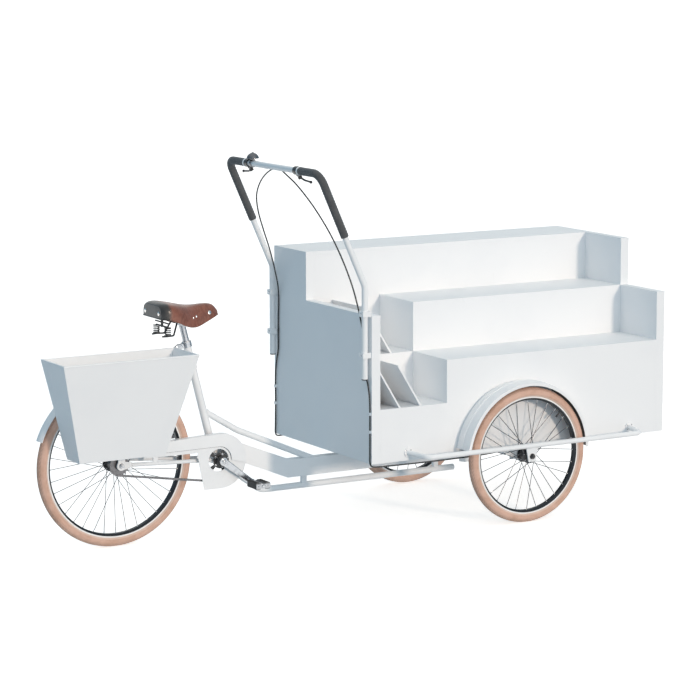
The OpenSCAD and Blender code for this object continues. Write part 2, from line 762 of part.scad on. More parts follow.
// Fixed axle with its nuts and the brake's cover plate and arm
module front_axles() color(chrome) wheels_to_origin() both_sides() {
  plate_out = rail_y + plate_axle_t / 2;
  hub_in = half_track - front_hub_w / 2;
  translate([0, 0, front_r]) {
    across(half_w, plate_out + 13, front_axle_r);
    across(plate_out, plate_out + 2, 12);
    across(plate_out + 2, plate_out + 10, 10, $fn = 6);
    across(half_w + 6, hub_in - 8, 9);
    across(hub_in - 7, hub_in - 2, drum_r - 3);
    across(hub_in - 8, hub_in - 7, 24);
    across(half_track + front_hub_w / 2 + seat_gap, rail_y - plate_axle_t / 2, 9);
    translate([-54, hub_in - 15, 0]) rotate([0, 30, 0]) block([-40, 0, -7], [48, 4, 7]);
    translate([-54, hub_in - 11, 0]) rotate([0, 30, 0]) translate([34, 0, 0]) across(-1, 4.5, 6);
    translate([-54, hub_in - 15, 0]) rotate([0, 30, 0]) translate([-34, 0, 0]) across(-6, 1, 6);
  }
}

module front_mudguards() color(white) wheels_to_origin() both_sides() {
  w = front_guard_out - half_w;
  translate([0, half_w + w / 2, front_r]) {
    guard_strip(front_guard_r, w, 2.4, 5, 9, 104);
    intersection() {
      guard_strip(front_guard_r + 2.4, w, 2, 5, 9, 104);
      block([-400, w * -0.06, -400], [400, w * 0.02, 400]);
    }
  }
}

// Cart: the boards of the box
module cart_floor() color(white) wheels_to_origin()
  block([pocket_x0, -half_w + board_t, box_bottom], [inner_x1, half_w - board_t, box_bottom + board_t]);

module rear_end_panel() color(white) wheels_to_origin() union() {
  block([-box_back, -half_w, box_bottom], [pocket_x0, half_w, shelf_2]);
  block([-box_back, riser_3, box_bottom], [pocket_x0, half_w, deck_top]);
}

module front_end_panel() color(white) wheels_to_origin() union() {
  block([inner_x1, -half_w, box_bottom], [box_front, half_w, shelf_2]);
  block([inner_x1, riser_2, box_bottom], [box_front, half_w, deck_top]);
}

module right_side_panel() color(white) wheels_to_origin() difference() {
  block([pocket_x0, -half_w, box_bottom], [inner_x1, -half_w + board_t, shelf_1]);
  block([pocket_x0 - 1, -half_w - 1, pocket_z], [pocket_x1, -half_w + board_t + 1, shelf_1 + 1]);
}

module left_side_panel() color(white) wheels_to_origin()
  block([pocket_x0, half_w - board_t, box_bottom], [inner_x1, half_w, deck_top]);

module lower_shelf() color(white) wheels_to_origin()
  block([pocket_x1 + board_t, -half_w + board_t, shelf_1 - board_t], [inner_x1, riser_2, shelf_1]);

// Upright board behind the lower shelf; it drops to the lower pocket's floor behind that pocket
module middle_riser() color(white) wheels_to_origin() union() {
  block([pocket_x1 + board_t, riser_2, shelf_1 - board_t], [inner_x1, riser_2 + board_t, shelf_2]);
  block([pocket_x0, riser_2, pocket_z - board_t], [pocket_x1, riser_2 + board_t, shelf_1]);
}

module upper_shelf() color(white) wheels_to_origin()
  block([pocket_x1 + board_t, riser_2 + board_t, shelf_2 - board_t], [inner_x1, riser_3, shelf_2]);

module top_riser() color(white) wheels_to_origin()
  block([pocket_x0, riser_3, shelf_1 - board_t], [inner_x1, riser_3 + board_t, deck_top - board_t]);

module top_deck() color(white) wheels_to_origin()
  block([pocket_x0, riser_3, deck_top - board_t], [inner_x1, half_w - board_t, deck_top]);

module partition() color(white) wheels_to_origin() union() {
  block([pocket_x1, -half_w + board_t, pocket_z - board_t], [pocket_x1 + board_t, riser_3, shelf_1]);
  block([pocket_x1, riser_2, shelf_1], [pocket_x1 + board_t, riser_3, shelf_2]);
}

module pocket_floors() color(white) wheels_to_origin() {
  block([pocket_x0, -half_w + board_t, pocket_z - board_t], [pocket_x1, riser_2, pocket_z]);
  block([pocket_x0, riser_2 + board_t, shelf_1 - board_t], [pocket_x1, riser_3, shelf_1]);
}

// Slanted thin boards that lean towards the rear panel
module leaning_board(foot_x, z0, z1, y0, y1) {
  rise = z1 - z0;
  shift = rise * tan(divider_lean);
  wide = divider_t / cos(divider_lean);
  intersection() {
    plate_y(y0, y1) polygon([[foot_x, z0], [foot_x + wide, z0], [foot_x + wide - shift, z1], [foot_x - shift, z1]]);
    block([pocket_x0, y0, z0], [pocket_x1, y1, z1]);
  }
}

module pocket_dividers() color(white) wheels_to_origin() {
  first = pocket_x1 - 2 * divider_step - 28;
  for (k = [0, 1]) {
    leaning_board(first + k * divider_step, pocket_z, shelf_1 - 4, -half_w + 3, riser_2);
    leaning_board(first + 18 + k * divider_step, shelf_1, shelf_2 - 6, riser_2 + 3, riser_3);
  }
}

// Push hoop
hoop_path = [[leg_x, -hoop_half, leg_foot], [leg_x, -hoop_half, leg_bend], [bar_x, -hoop_half, hoop_top],
  [bar_x, hoop_half, hoop_top], [leg_x, hoop_half, leg_bend], [leg_x, hoop_half, leg_foot]];

module handlebar_hoop() color(white) wheels_to_origin() tube(hoop_path, hoop_r, tube_wall, hoop_corner);

module foam_grips() color(foam_grey) wheels_to_origin() both_sides() {
  corner = [bar_x, hoop_half, hoop_top];
  knee = [leg_x, hoop_half, leg_bend];
  reach = foam_leg + hoop_corner;
  slope_len = norm(corner - knee);
  start = [bar_x, foam_start, hoop_top];
  path = reach <= slope_len ? [start, corner, corner - slope_dir * reach]
    : [start, corner, knee, knee - [0, 0, reach - slope_len]];
  difference() {
    pipe(path, foam_r, hoop_corner);
    pipe(longer(path, 1), hoop_r + bolt_fit, hoop_corner);
  }
}

// Saddle clips that hold the legs, and small clips that hold the cables
leg_clips = [735, 900];
clip_half = 11;
clip_hold = 37.5;
cable_clips = [[-389, 428], [-388.5, 500], [380, 428], [380, 500]];
cable_off = 5;

module panel_clips() color(white) wheels_to_origin() {
  both_sides() for (z = leg_clips) difference() {
    block([leg_x - hoop_r - 4, min(hoop_half - hoop_r - 5, half_w - clip_hold), z - clip_half],
      [-box_back, hoop_half + hoop_r + 3, z + clip_half]);
    bar([leg_x, hoop_half, z - 2 * clip_half], [leg_x, hoop_half, z + 2 * clip_half], hoop_r + bolt_fit);
  }
  for (c = cable_clips) difference() {
    block([-box_back - cable_off - cable_r - 2, c[0] - 5, c[1] - 6], [-box_back, c[0] + 5, c[1] + 6]);
    bar([-box_back - cable_off, c[0], c[1] - 20], [-box_back - cable_off, c[0], c[1] + 20], cable_r + 1);
  }
}

// Place of the cable's stop about the bar
stop_down = 12;
function stop_side(side) = -side * 16;

// Local frame of a brake lever: x outwards along the bar, y down the slope of the hoop
module lever_frame(side) {
  x = [0, side, 0];
  place([bar_x, side * clamp_y, hoop_top], x, hoop_down, cross(x, hoop_down)) children();
}

module lever_clamp_form(side) difference() {
  union() {
    rotate([0, 90, 0]) translate([0, 0, -clamp_w / 2]) cylinder(r = hoop_r + 5, h = clamp_w);
    translate([-clamp_w / 2, 8, -7]) cube([clamp_w, lever_drop - 16, 14]);
    translate([-5, 20, -7]) cube([10, lever_drop - 14, 2.6]);
    translate([-5, 20, 4.4]) cube([10, lever_drop - 14, 2.6]);
    translate([0, lever_drop, -8.5]) cylinder(r = lever_pin_r, h = 17);
    translate([-clamp_w / 2 - 5, stop_down, stop_side(side)]) rotate([0, 90, 0]) cylinder(r = 4.5, h = 8);
  }
  rotate([0, 90, 0]) translate([0, 0, -40]) cylinder(r = hoop_r + bolt_fit, h = 80);
}

module lever_clamps() color(chrome) wheels_to_origin() for (s = [-1, 1]) lever_frame(s) lever_clamp_form(s);

module lever_form() difference() {
  union() {
    translate([0, lever_drop, -4]) cylinder(r = 7, h = 8);
    pipe([[0, lever_drop, 0], [lever_len * 0.4, lever_drop + 10, 0], [lever_len, lever_drop + 14, 0]], 4, 30);
    translate([lever_len, lever_drop + 14, 0]) sphere(r = 6);
  }
  translate([0, lever_drop, -10]) cylinder(r = lever_pin_r + run_fit, h = 20);
}

module brake_lever_right() color(chrome) wheels_to_origin() lever_frame(-1) lever_form();
module brake_lever_left() color(chrome) wheels_to_origin() lever_frame(1) lever_form();

// Bell: clamp and post under a turned dome
bell_seat = [bar_x, bell_y, hoop_top + hoop_r + 3];

module bell() color(chrome) wheels_to_origin() {
  difference() {
    union() {
      translate([bar_x, 0, hoop_top]) across(bell_y - 7, bell_y + 7, hoop_r + 3);
      translate(bell_seat - [0, 0, 4]) cylinder(r = 6, h = 26);
      translate(bell_seat + [0, 0, 1]) cylinder(r = 11, h = 3);
    }
    translate([bar_x, 0, hoop_top]) across(bell_y - 20, bell_y + 20, hoop_r + bolt_fit);
  }
  translate(bell_seat + [0, 0, 12]) rotate_extrude() difference() {
    intersection() {
      circle(r = bell_r);
      translate([0, -6]) square([bell_r, 20]);
    }
    circle(r = bell_r - 2);
    translate([0, -10]) square([5.9, 10]);
  }
}

// Thumb lever of the bell, turning on the post under the dome
module bell_lever() color(chrome) wheels_to_origin() translate(bell_seat + [0, 0, 4 + seat_gap]) difference() {
  union() {
    cylinder(r = 9, h = 1.2);
    rotate([0, 0, 200]) translate([0, -4, 0]) cube([31, 8, 1.2]);
    rotate([0, 0, 200]) translate([31, 0, 0]) cylinder(r = 5, h = 1.2);
  }
  translate([0, 0, -1]) cylinder(r = 6 + run_fit, h = 4);
}

module brake_cable_right() color(black) wheels_to_origin() cord(smooth(right_route, cable_steps), cable_r, 8, [0, 0, 1]);
module brake_cable_left() color(black) wheels_to_origin() cord(smooth(left_route, cable_steps), cable_r, 8, [0, 0, 1]);

// Wheels, standing on the axle's middle with the axle along Y
module tyre_form(r) rotate([90, 0, 0]) rotate_extrude($fn = 96) difference() {
  translate([r - tyre_d / 2, 0]) circle(d = tyre_d);
  translate([0, -rim_w / 2]) square([r - tyre_seat, rim_w]);
}

module rim_form(r) {
  seat = r - tyre_seat;
  rotate([90, 0, 0]) rotate_extrude($fn = 96) polygon([[seat, -rim_w / 2], [seat, rim_w / 2],
    [seat - rim_h * 0.5, rim_w / 2], [seat - rim_h, rim_w * 0.28], [seat - rim_h, -rim_w * 0.28],
    [seat - rim_h * 0.5, -rim_w / 2]]);
}

// Spokes run from alternate flanges, crossing in pairs on the two faces of each flange
module spokes(count, flange_r, flange_y, rim_in) {
  lace = 32;
  for (k = [0:count - 1]) {
    side = k % 2 == 0 ? 1 : -1;
    lead = floor(k / 2) % 2 == 0 ? 1 : -1;
    a = 360 * k / count;
    h = a + lead * lace;
    start = [(flange_r - 5) * cos(h), side * (flange_y + lead * 2.2), (flange_r - 5) * sin(h)];
    end = [(rim_in - nipple_gap) * cos(a), side * 2, (rim_in - nipple_gap) * sin(a)];
    bar(start, end, spoke_d / 2, $fn = 6);
  }
}

module hub_form(shell, width, flange_r, bore, count, rim_in) difference() {
  flange_y = width / 2 - 4;
  union() {
    across(-width / 2, width / 2, shell);
    for (s = [-1, 1]) across(s * flange_y - 1.5, s * flange_y + 1.5, flange_r);
    spokes(count, flange_r, flange_y, rim_in);
  }
  across(-width, width, bore);
}

module front_wheel(side) wheels_to_origin() translate([0, side * half_track, front_r]) children();
module rear_wheel() wheels_to_origin() translate(rear_axle_p) children();

module right_tyre() color(tan_rubber) front_wheel(-1) tyre_form(front_r);
module right_rim() color(charcoal) front_wheel(-1) rim_form(front_r);
module right_hub() color(charcoal) front_wheel(-1)
  hub_form(drum_r, front_hub_w, front_flange_r, front_axle_r + run_fit, front_spokes, front_rim_in);
module left_tyre() color(tan_rubber) front_wheel(1) tyre_form(front_r);
module left_rim() color(charcoal) front_wheel(1) rim_form(front_r);
module left_hub() color(charcoal) front_wheel(1)
  hub_form(drum_r, front_hub_w, front_flange_r, front_axle_r + run_fit, front_spokes, front_rim_in);
module rear_tyre() color(tan_rubber) rear_wheel() tyre_form(rear_r);
module rear_rim() color(charcoal) rear_wheel() rim_form(rear_r);
module rear_hub() color(charcoal) rear_wheel()
  hub_form(rear_hub_r, rear_hub_w, rear_flange_r, rear_axle_r + run_fit, rear_spokes, rear_rim_in);

// Cranks, pedals and chainring
module crank_bar(y0, y1, tip) {
  u = unit(tip - bracket_p);
  plate_y(y0, y1) translate([bracket_p[0], bracket_p[2]]) rotate(atan2(u[2], u[0]))
    polygon([[0, -15], [crank_len, -10.5], [crank_len, 10.5], [0, 15]]);
  translate(bracket_p) across(y0, y1, 17);
  translate(tip) across(y0, y1, 13);
}

module crank_right() color(chrome) wheels_to_origin() difference() {
  union() {
    crank_bar(-arm_in_y - arm_t, -arm_in_y, right_pedal_p);
    translate(bracket_p) across(-arm_in_y, left_in_y, spindle_r);
    translate(bracket_p) across(-arm_in_y - arm_t - 3, -arm_in_y - arm_t, 9);
  }
  translate(right_pedal_p) across(-arm_in_y - arm_t - 1, -arm_in_y + 1, pedal_pin_r + run_fit);
}

module crank_left() color(chrome) wheels_to_origin() difference() {
  union() {
    crank_bar(left_in_y, left_in_y + arm_t, left_pedal_p);
    translate(bracket_p) across(left_in_y + arm_t, left_in_y + arm_t + 3, 9);
  }
  translate(left_pedal_p) across(left_in_y - 1, left_in_y + arm_t + 1, pedal_pin_r + run_fit);
}

module chainring() color(charcoal) wheels_to_origin() translate(bracket_p) {
  plate_y(-chain_y - tooth_t / 2, -chain_y + tooth_t / 2) difference() {
    toothed(ring_teeth, ring_pitch_r);
    for (a = [0:72:288]) rotate(a) difference() {
      intersection() {
        circle(r = ring_pitch_r - 16);
        polygon([[0, 0], 200 * spot(10), 200 * spot(62)]);
      }
      circle(r = 32);
    }
    circle(r = spindle_r);
  }
  difference() {
    across(-arm_in_y, -shell_w / 2 - 1, 22);
    across(-arm_in_y - 1, 0, spindle_r);
    across(-chain_y - tooth_t / 2, -chain_y + tooth_t / 2, 30);
  }
}

// Pedal with two rubber blocks between end plates, lying outwards along Y from y = 0
module pedal_form() difference() {
  union() {
    across(12, pedal_len + 4, 9);
    for (y = [12, pedal_len]) plate_y(y, y + 4) square([pedal_w, pedal_h - 6], center = true);
    for (x = [-1, 1]) block([x * pedal_w / 2 - (x > 0 ? 20 : 0), 16, -pedal_h / 2],
      [x * pedal_w / 2 + (x > 0 ? 0 : 20), pedal_len, pedal_h / 2]);
    across(-arm_t, 12, pedal_pin_r);
    across(seat_gap, 5, 9, $fn = 6);
  }
}

module pedal_right() color(charcoal) wheels_to_origin() translate(right_pedal_p - [0, arm_in_y + arm_t, 0])
  mirror([0, 1, 0]) pedal_form();
module pedal_left() color(charcoal) wheels_to_origin() translate(left_pedal_p + [0, left_in_y + arm_t, 0])
  pedal_form();

// Seat post, saddle and its springs
saddle_z = post_top[2];

module seat_post() color(chrome) wheels_to_origin() union() {
  bar(seat_top - seat_dir * 130, post_top, post_r);
  translate(post_top) across(-30, 30, 11);
}

// Stations of the leather from the rear to the nose: place along the length, half width as a share of
// the rear's, drop of the crest and of the lower edge as shares of the length, and roundness
leather_plan = [[0, 0.8, 0.036, 0.216, 0.45], [0.05, 0.92, 0.013, 0.22, 0.47], [0.13, 0.98, 0.007, 0.23, 0.5],
  [0.25, 0.95, 0.025, 0.273, 0.56], [0.38, 0.83, 0.053, 0.33, 0.62], [0.5, 0.65, 0.075, 0.365, 0.68],
  [0.62, 0.51, 0.082, 0.369, 0.75], [0.74, 0.43, 0.076, 0.33, 0.8], [0.85, 0.36, 0.079, 0.287, 0.85],
  [0.93, 0.28, 0.103, 0.259, 0.88], [1, 0.14, 0.175, 0.24, 0.9]];
leather_rows = smooth(leather_plan, 2);
leather_ribs = 14;
function leather_ring(row, inset) = let (
    x = saddle_rear_x + inset + row[0] * (saddle_len - 2 * inset), w = row[1] * saddle_w / 2 - inset,
    top = saddle_top - row[2] * saddle_len - inset, low = saddle_top - row[3] * saddle_len)
  [for (k = [0:leather_ribs]) let (a = 180 * k / leather_ribs)
    [x, w * sign(cos(a)) * pow(abs(cos(a)), row[4]), low + (top - low) * pow(sin(a), row[4])]];

module saddle_leather() color(brown) wheels_to_origin() {
  m = leather_ribs + 1;
  n = len(leather_rows) - 1;
  outer = [for (row = leather_rows) each leather_ring(row, 0)];
  inner = [for (row = leather_rows) each leather_ring(row, leather_t)];
  o = (n + 1) * m;
  e = n * m;
  skin = [for (i = [0:n - 1]) for (k = [0:m - 2]) let (a = i * m + k)
    each [[a, a + m, a + 1], [a + 1, a + m, a + m + 1]]];
  lining = [for (t = skin) [t[0] + o, t[2] + o, t[1] + o]];
  rim = [for (i = [0:n - 1]) each [[i * m, i * m + o, i * m + m], [i * m + m, i * m + o, i * m + m + o],
    [i * m + m - 1, i * m + 2 * m - 1, i * m + m - 1 + o], [i * m + 2 * m - 1, i * m + 2 * m - 1 + o, i * m + m - 1 + o]]];
  rear_wall = [for (k = [1:m - 2]) each [[0, k, k + 1], [o, o + k + 1, o + k]]];
  nose_wall = [for (k = [1:m - 2]) each [[e, e + k + 1, e + k], [e + o, e + o + k, e + o + k + 1]]];
  end_rims = [[0, m - 1, o], [m - 1, o + m - 1, o], [e, e + o, e + m - 1], [e + m - 1, e + o, e + o + m - 1]];
  polyhedron(concat(outer, inner), concat(skin, lining, rim, rear_wall, nose_wall, end_rims));
}

spring_x = saddle_rear_x + 42;
spring_y = 49;
spring_z = saddle_z - 32;
washer_r = spring_r + 2;
washer_t = 3;
spring_top = spring_z + spring_h + spring_wire / 2;
spring_foot = spring_z - spring_wire / 2;
nose_x = saddle_rear_x + 0.84 * saddle_len;
// Height of the leather's inner face over the middle line, least within r of x
crest_line = [for (row = leather_rows) [row[0], saddle_top - row[2] * saddle_len - leather_t]];
function inner_share(x) = (x - saddle_rear_x - leather_t) / (saddle_len - 2 * leather_t);
function under_leather(x, r) = min([for (d = [-r, -r / 2, 0, r / 2, r]) lookup(inner_share(x + d), crest_line)]) - seat_gap;

module saddle_frame() color(charcoal) wheels_to_origin() {
  rail_up = 15;
  rail_out = 24;
  rod = 3.5;
  stud_r = 5;
  low = spring_foot - washer_t - rod + 1;
  nose = [nose_x, 0, saddle_z + rail_up + 14];
  both_sides() pipe([nose + [0, 5, 0], post_top + [34, rail_out, rail_up], post_top + [-30, rail_out, rail_up],
    [spring_x + 30, spring_y - 8, low], [spring_x, spring_y, low], [spring_x - 22, spring_y - 6, low]], rod, 9);
  difference() {
    translate(post_top + [0, 0, rail_up]) across(-32, 32, 10);
    translate(post_top) across(-40, 40, 11);
    bar(seat_top, post_top, post_r);
  }
  translate([nose_x - 2, 0, nose[2] - rod - 1]) cylinder(r = 9, h = 2 * rod + 2);
  translate([nose_x, 0, nose[2]]) cylinder(r = 4, h = under_leather(nose_x, 4) - nose[2]);
  both_sides() translate([spring_x, spring_y, spring_foot - washer_t]) cylinder(r = washer_r, h = washer_t);
  both_sides() translate([spring_x, spring_y, spring_top]) cylinder(r = washer_r, h = washer_t);
  translate([spring_x, 0, spring_top + rod + 0.6]) across(-spring_y, spring_y, rod);
  translate([spring_x, 0, spring_top + 19]) across(-spring_y - 8, spring_y + 8, 3);
  translate([spring_x, 0, spring_top]) cylinder(r = stud_r, h = under_leather(spring_x, stud_r) - spring_top);
}

// One unbroken wire per spring
spring_rings = 8;
function spring_point(i) = let (a = 360 * i / spring_rings, f = i / (spring_rings * spring_turns))
  [spring_r * cos(a), spring_r * sin(a), spring_h * f];
spring_points = [for (i = [0:spring_rings * spring_turns]) spring_point(i)];
spring_gap = min([for (i = [0:len(spring_points) - 1]) for (j = [i + 5:1:len(spring_points) - 1])
  norm(spring_points[i] - spring_points[j])]) - spring_wire;
echo(spring_least_gap = spring_gap);

module saddle_springs() color(charcoal) wheels_to_origin() both_sides()
  translate([spring_x, spring_y, spring_z]) cord(spring_points, spring_wire / 2, 6, [0, 0, 1]);

// Quick-release lever of the seat clamp, turning on its bolt
lever_side = [sin(seat_angle), 0, cos(seat_angle)];
lever_hub = seat_top - seat_dir * 13 - lever_side * (seat_tube_r + 12);

module seat_lever() color(chrome) wheels_to_origin() translate(lever_hub) {
  across(-16, -9 - seat_gap, 8);
  pipe([[0, -13, 0], [-15, -14, 13], [-40, -15, -6]], 3.5, 14);
}

main_beam();
upper_tube();
lower_tube();
seat_tube();
chain_stays();
seat_stays();
rear_mudguard();
chain_guard();
chain();
pannier_rack();
pannier_box();
seat_clamp();
rear_axle();
cart_underframe();
outer_rails();
front_axles();
front_mudguards();
cart_floor();
rear_end_panel();
front_end_panel();
right_side_panel();
left_side_panel();
lower_shelf();
middle_riser();
upper_shelf();
top_riser();
top_deck();
partition();
pocket_floors();
pocket_dividers();
handlebar_hoop();
foam_grips();
panel_clips();
lever_clamps();
bell();
brake_cable_right();
brake_cable_left();
right_tyre();
right_rim();
right_hub();
left_tyre();
left_rim();
left_hub();
rear_tyre();
rear_rim();
rear_hub();
crank_right();
crank_left();
chainring();
pedal_right();
pedal_left();
rear_sprocket();
seat_post();
saddle_leather();
saddle_frame();
saddle_springs();
seat_lever();
brake_lever_right();
brake_lever_left();
bell_lever();
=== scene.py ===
"""Looks of a pedal cargo tricycle with a stepped display box.

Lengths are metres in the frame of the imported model: X runs forward, Y to the rider's left, Z up.
"""

import math

import bmesh
import bpy
from mathutils import Matrix, Vector


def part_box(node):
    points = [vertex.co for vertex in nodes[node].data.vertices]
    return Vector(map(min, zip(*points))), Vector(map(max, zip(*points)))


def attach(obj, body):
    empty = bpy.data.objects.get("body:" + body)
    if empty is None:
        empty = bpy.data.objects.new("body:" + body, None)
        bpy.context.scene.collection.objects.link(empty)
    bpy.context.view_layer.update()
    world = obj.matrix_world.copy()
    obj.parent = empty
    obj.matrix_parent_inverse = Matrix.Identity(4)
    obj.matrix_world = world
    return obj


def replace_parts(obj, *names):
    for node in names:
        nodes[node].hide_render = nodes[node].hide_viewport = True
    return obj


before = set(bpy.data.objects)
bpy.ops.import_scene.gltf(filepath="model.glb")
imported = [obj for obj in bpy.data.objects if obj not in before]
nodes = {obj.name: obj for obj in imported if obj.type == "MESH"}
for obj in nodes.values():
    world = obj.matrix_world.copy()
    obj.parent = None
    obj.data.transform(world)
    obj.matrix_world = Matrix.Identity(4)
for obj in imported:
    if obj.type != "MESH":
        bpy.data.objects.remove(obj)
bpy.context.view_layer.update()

MM = 0.001

FRONT_AXLE_X = 620.5


def at(x, y, z):
    """A place given in millimetres, with X from the front axle."""
    return Vector((x + FRONT_AXLE_X, y, z)) * MM


def polar(radius, turn, y=0):
    """A point at a radius and a turn about the Y axis."""
    return Vector((radius * math.cos(turn), y, radius * math.sin(turn)))


# Places taken from the frame
def middle(node):
    low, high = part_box(node)
    return (low + high) / 2


RIGHT_AXLE = middle("right_tyre")
LEFT_AXLE = middle("left_tyre")
REAR_AXLE = middle("rear_tyre")
FRONT_WHEEL_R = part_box("right_tyre")[1].z - RIGHT_AXLE.z
REAR_WHEEL_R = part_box("rear_tyre")[1].z - REAR_AXLE.z

# Sizes that the model was built with, in metres
TYRE_SEAT = 33 * MM
RIM_H = 17 * MM
HOOP_R = 12.5 * MM
CABLE_R = 3 * MM

# The same in millimetres
FRONT_R, REAR_R = 278, 330
HALF_TRACK = 462
FRONT_FLANGE, REAR_FLANGE = 33, 37
HOOP_CORNER = 46
HOOP_TOP = 1462
HOOP_HALF_W = 375
LEG_X, LEG_FOOT, LEG_BEND = -718.5, 640, 1010
HOOP_LEAN = math.radians(24.3)
BAR_X = LEG_X - (HOOP_TOP - LEG_BEND) * math.tan(HOOP_LEAN)
HUB_BACK, HUB_RISE = 444, 26
BRACKET_X, BRACKET_Z = -1193, 304
PEDAL_SIDES = (("right", -80, -1), ("left", 66, 1))

# Places and directions
FRONT_AXLE = at(0, 0, FRONT_R)
BRACKET = at(BRACKET_X, 0, BRACKET_Z)
REAR_HUB = at(BRACKET_X - HUB_BACK, 0, REAR_R)
SEAT_LEAN = math.radians(180 - 75.6)
SEAT_DIR = polar(1, SEAT_LEAN)
SEAT_TOP = BRACKET + SEAT_DIR * 502 * MM


# Node trees
def linear(red, green, blue):
    """A colour given as screen values from 0 to 255."""
    def one(v):
        v /= 255
        return v / 12.92 if v <= 0.04045 else ((v + 0.055) / 1.055) ** 2.4
    return (one(red), one(green), one(blue), 1)


class Shader:
    """A material with one principled surface, fed by small calls."""

    def __init__(self, name, **constants):
        self.material = bpy.data.materials.new(name)
        self.material.use_nodes = True
        self.tree = self.material.node_tree
        self.surface = self.tree.nodes["Principled BSDF"]
        self.place = self.add("ShaderNodeTexCoord").outputs["Object"]
        for socket, value in constants.items():
            self.surface.inputs[socket.replace("_", " ")].default_value = value

    def add(self, kind, **settings):
        node = self.tree.nodes.new(kind)
        for key, value in settings.items():
            setattr(node, key, value)
        return node

    def put(self, socket, value):
        """Links a socket, or sets it to a plain value."""
        if isinstance(value, bpy.types.NodeSocket):
            self.tree.links.new(value, socket)
        elif value is not None:
            socket.default_value = value

    def feed(self, **inputs):
        for socket, value in inputs.items():
            self.put(self.surface.inputs[socket.replace("_", " ")], value)

    def math(self, operation, a, b=None, c=None):
        node = self.add("ShaderNodeMath", operation=operation)
        for socket, value in zip(node.inputs, (a, b, c)):
            self.put(socket, value)
        return node.outputs[0]

    def times(self, a, b):
        return self.math("MULTIPLY", a, b)

    def plus(self, a, b):
        return self.math("ADD", a, b)

    def between(self, value, low, high):
        """0 below low, 1 above high, and smooth between them."""
        node = self.add("ShaderNodeMapRange", interpolation_type="SMOOTHSTEP")
        for key, given in (("Value", value), ("From Min", low), ("From Max", high)):
            self.put(node.inputs[key], given)
        return node.outputs[0]

    def span(self, value, low, high):
        """Stretches 0 to 1 to the span from low to high."""
        return self.math("MULTIPLY_ADD", value, high - low, low)

    def noise(self, scale, detail=2.0, roughness=0.5, place=None):
        node = self.add("ShaderNodeTexNoise")
        self.put(node.inputs["Vector"], place or self.place)
        self.put(node.inputs["Scale"], scale)
        self.put(node.inputs["Detail"], detail)
        self.put(node.inputs["Roughness"], roughness)
        return node.outputs["Fac"]

    def cells(self, scale):
        node = self.add("ShaderNodeTexVoronoi")
        self.put(node.inputs["Vector"], self.place)
        self.put(node.inputs["Scale"], scale)
        return node.outputs["Distance"]

    def stretched(self, x, y, z):
        """The place with each axis multiplied, for grain along one direction."""
        node = self.add("ShaderNodeMapping")
        self.put(node.inputs["Vector"], self.place)
        node.inputs["Scale"].default_value = (x, y, z)
        return node.outputs[0]

    def from_point(self, point):
        """The place seen from a point, as its three coordinates."""
        node = self.add("ShaderNodeVectorMath", operation="SUBTRACT")
        self.put(node.inputs[0], self.place)
        node.inputs[1].default_value = point
        split = self.add("ShaderNodeSeparateXYZ")
        self.put(split.inputs[0], node.outputs[0])
        return split.outputs

    def round_axle(self, axle):
        """Distance from an axle along Y, turn about it in radians, and place along it."""
        x, y, z = self.from_point(axle)
        squares = self.plus(self.times(x, x), self.times(z, z))
        return self.math("SQRT", squares), self.math("ARCTAN2", z, x), y

    def mix(self, share, a, b):
        node = self.add("ShaderNodeMix", data_type="RGBA")
        self.put(node.inputs["Factor"], share)
        self.put(node.inputs[6], a)
        self.put(node.inputs[7], b)
        return node.outputs[2]

    def soft_edges(self, width):
        """The normal of a surface whose sharp edges are rounded."""
        node = self.add("ShaderNodeBevel", samples=6)
        node.inputs["Radius"].default_value = width
        return node.outputs[0]

    def edges(self, width):
        """1 along sharp edges and 0 on open faces."""
        dot = self.add("ShaderNodeVectorMath", operation="DOT_PRODUCT")
        self.put(dot.inputs[0], self.soft_edges(width))
        self.put(dot.inputs[1], self.add("ShaderNodeNewGeometry").outputs["Normal"])
        return self.between(dot.outputs["Value"], 0.995, 0.82)

    def bump(self, height, distance, strength=1.0, normal=None):
        node = self.add("ShaderNodeBump")
        self.put(node.inputs["Height"], height)
        node.inputs["Distance"].default_value = distance
        node.inputs["Strength"].default_value = strength
        self.put(node.inputs["Normal"], normal)
        return node.outputs[0]


def painted_board():
    """White paint rolled on smooth plywood: a fine stipple, faint scuffs, and sharp edges rounded in
    shading and lightened towards white as a painted highlight.
    """
    s = Shader("painted_board", Specular_IOR_Level=0.4)
    stipple = s.plus(s.noise(650, 3, 0.6), s.times(s.noise(160, 2), 0.6))
    cloud = s.between(s.noise(2.6, 4, 0.55), 0.45, 0.75)
    scuff = s.between(s.noise(24, 5, 0.7, s.stretched(1, 1, 0.25)), 0.66, 0.74)
    edge = s.edges(2.2 * MM)
    paint = s.mix(cloud, (0.905, 0.912, 0.92, 1), (0.875, 0.885, 0.898, 1))
    paint = s.mix(s.times(scuff, 0.35), paint, (0.80, 0.805, 0.81, 1))
    # Sharp edges are lightened towards white: a painted highlight.
    s.feed(Base_Color=s.mix(s.times(edge, 0.7), paint, (0.955, 0.96, 0.965, 1)),
           Roughness=s.span(s.noise(14, 3), 0.40, 0.58),
           Normal=s.bump(stipple, 0.10 * MM, 0.35, s.soft_edges(1.6 * MM)))
    return s.material


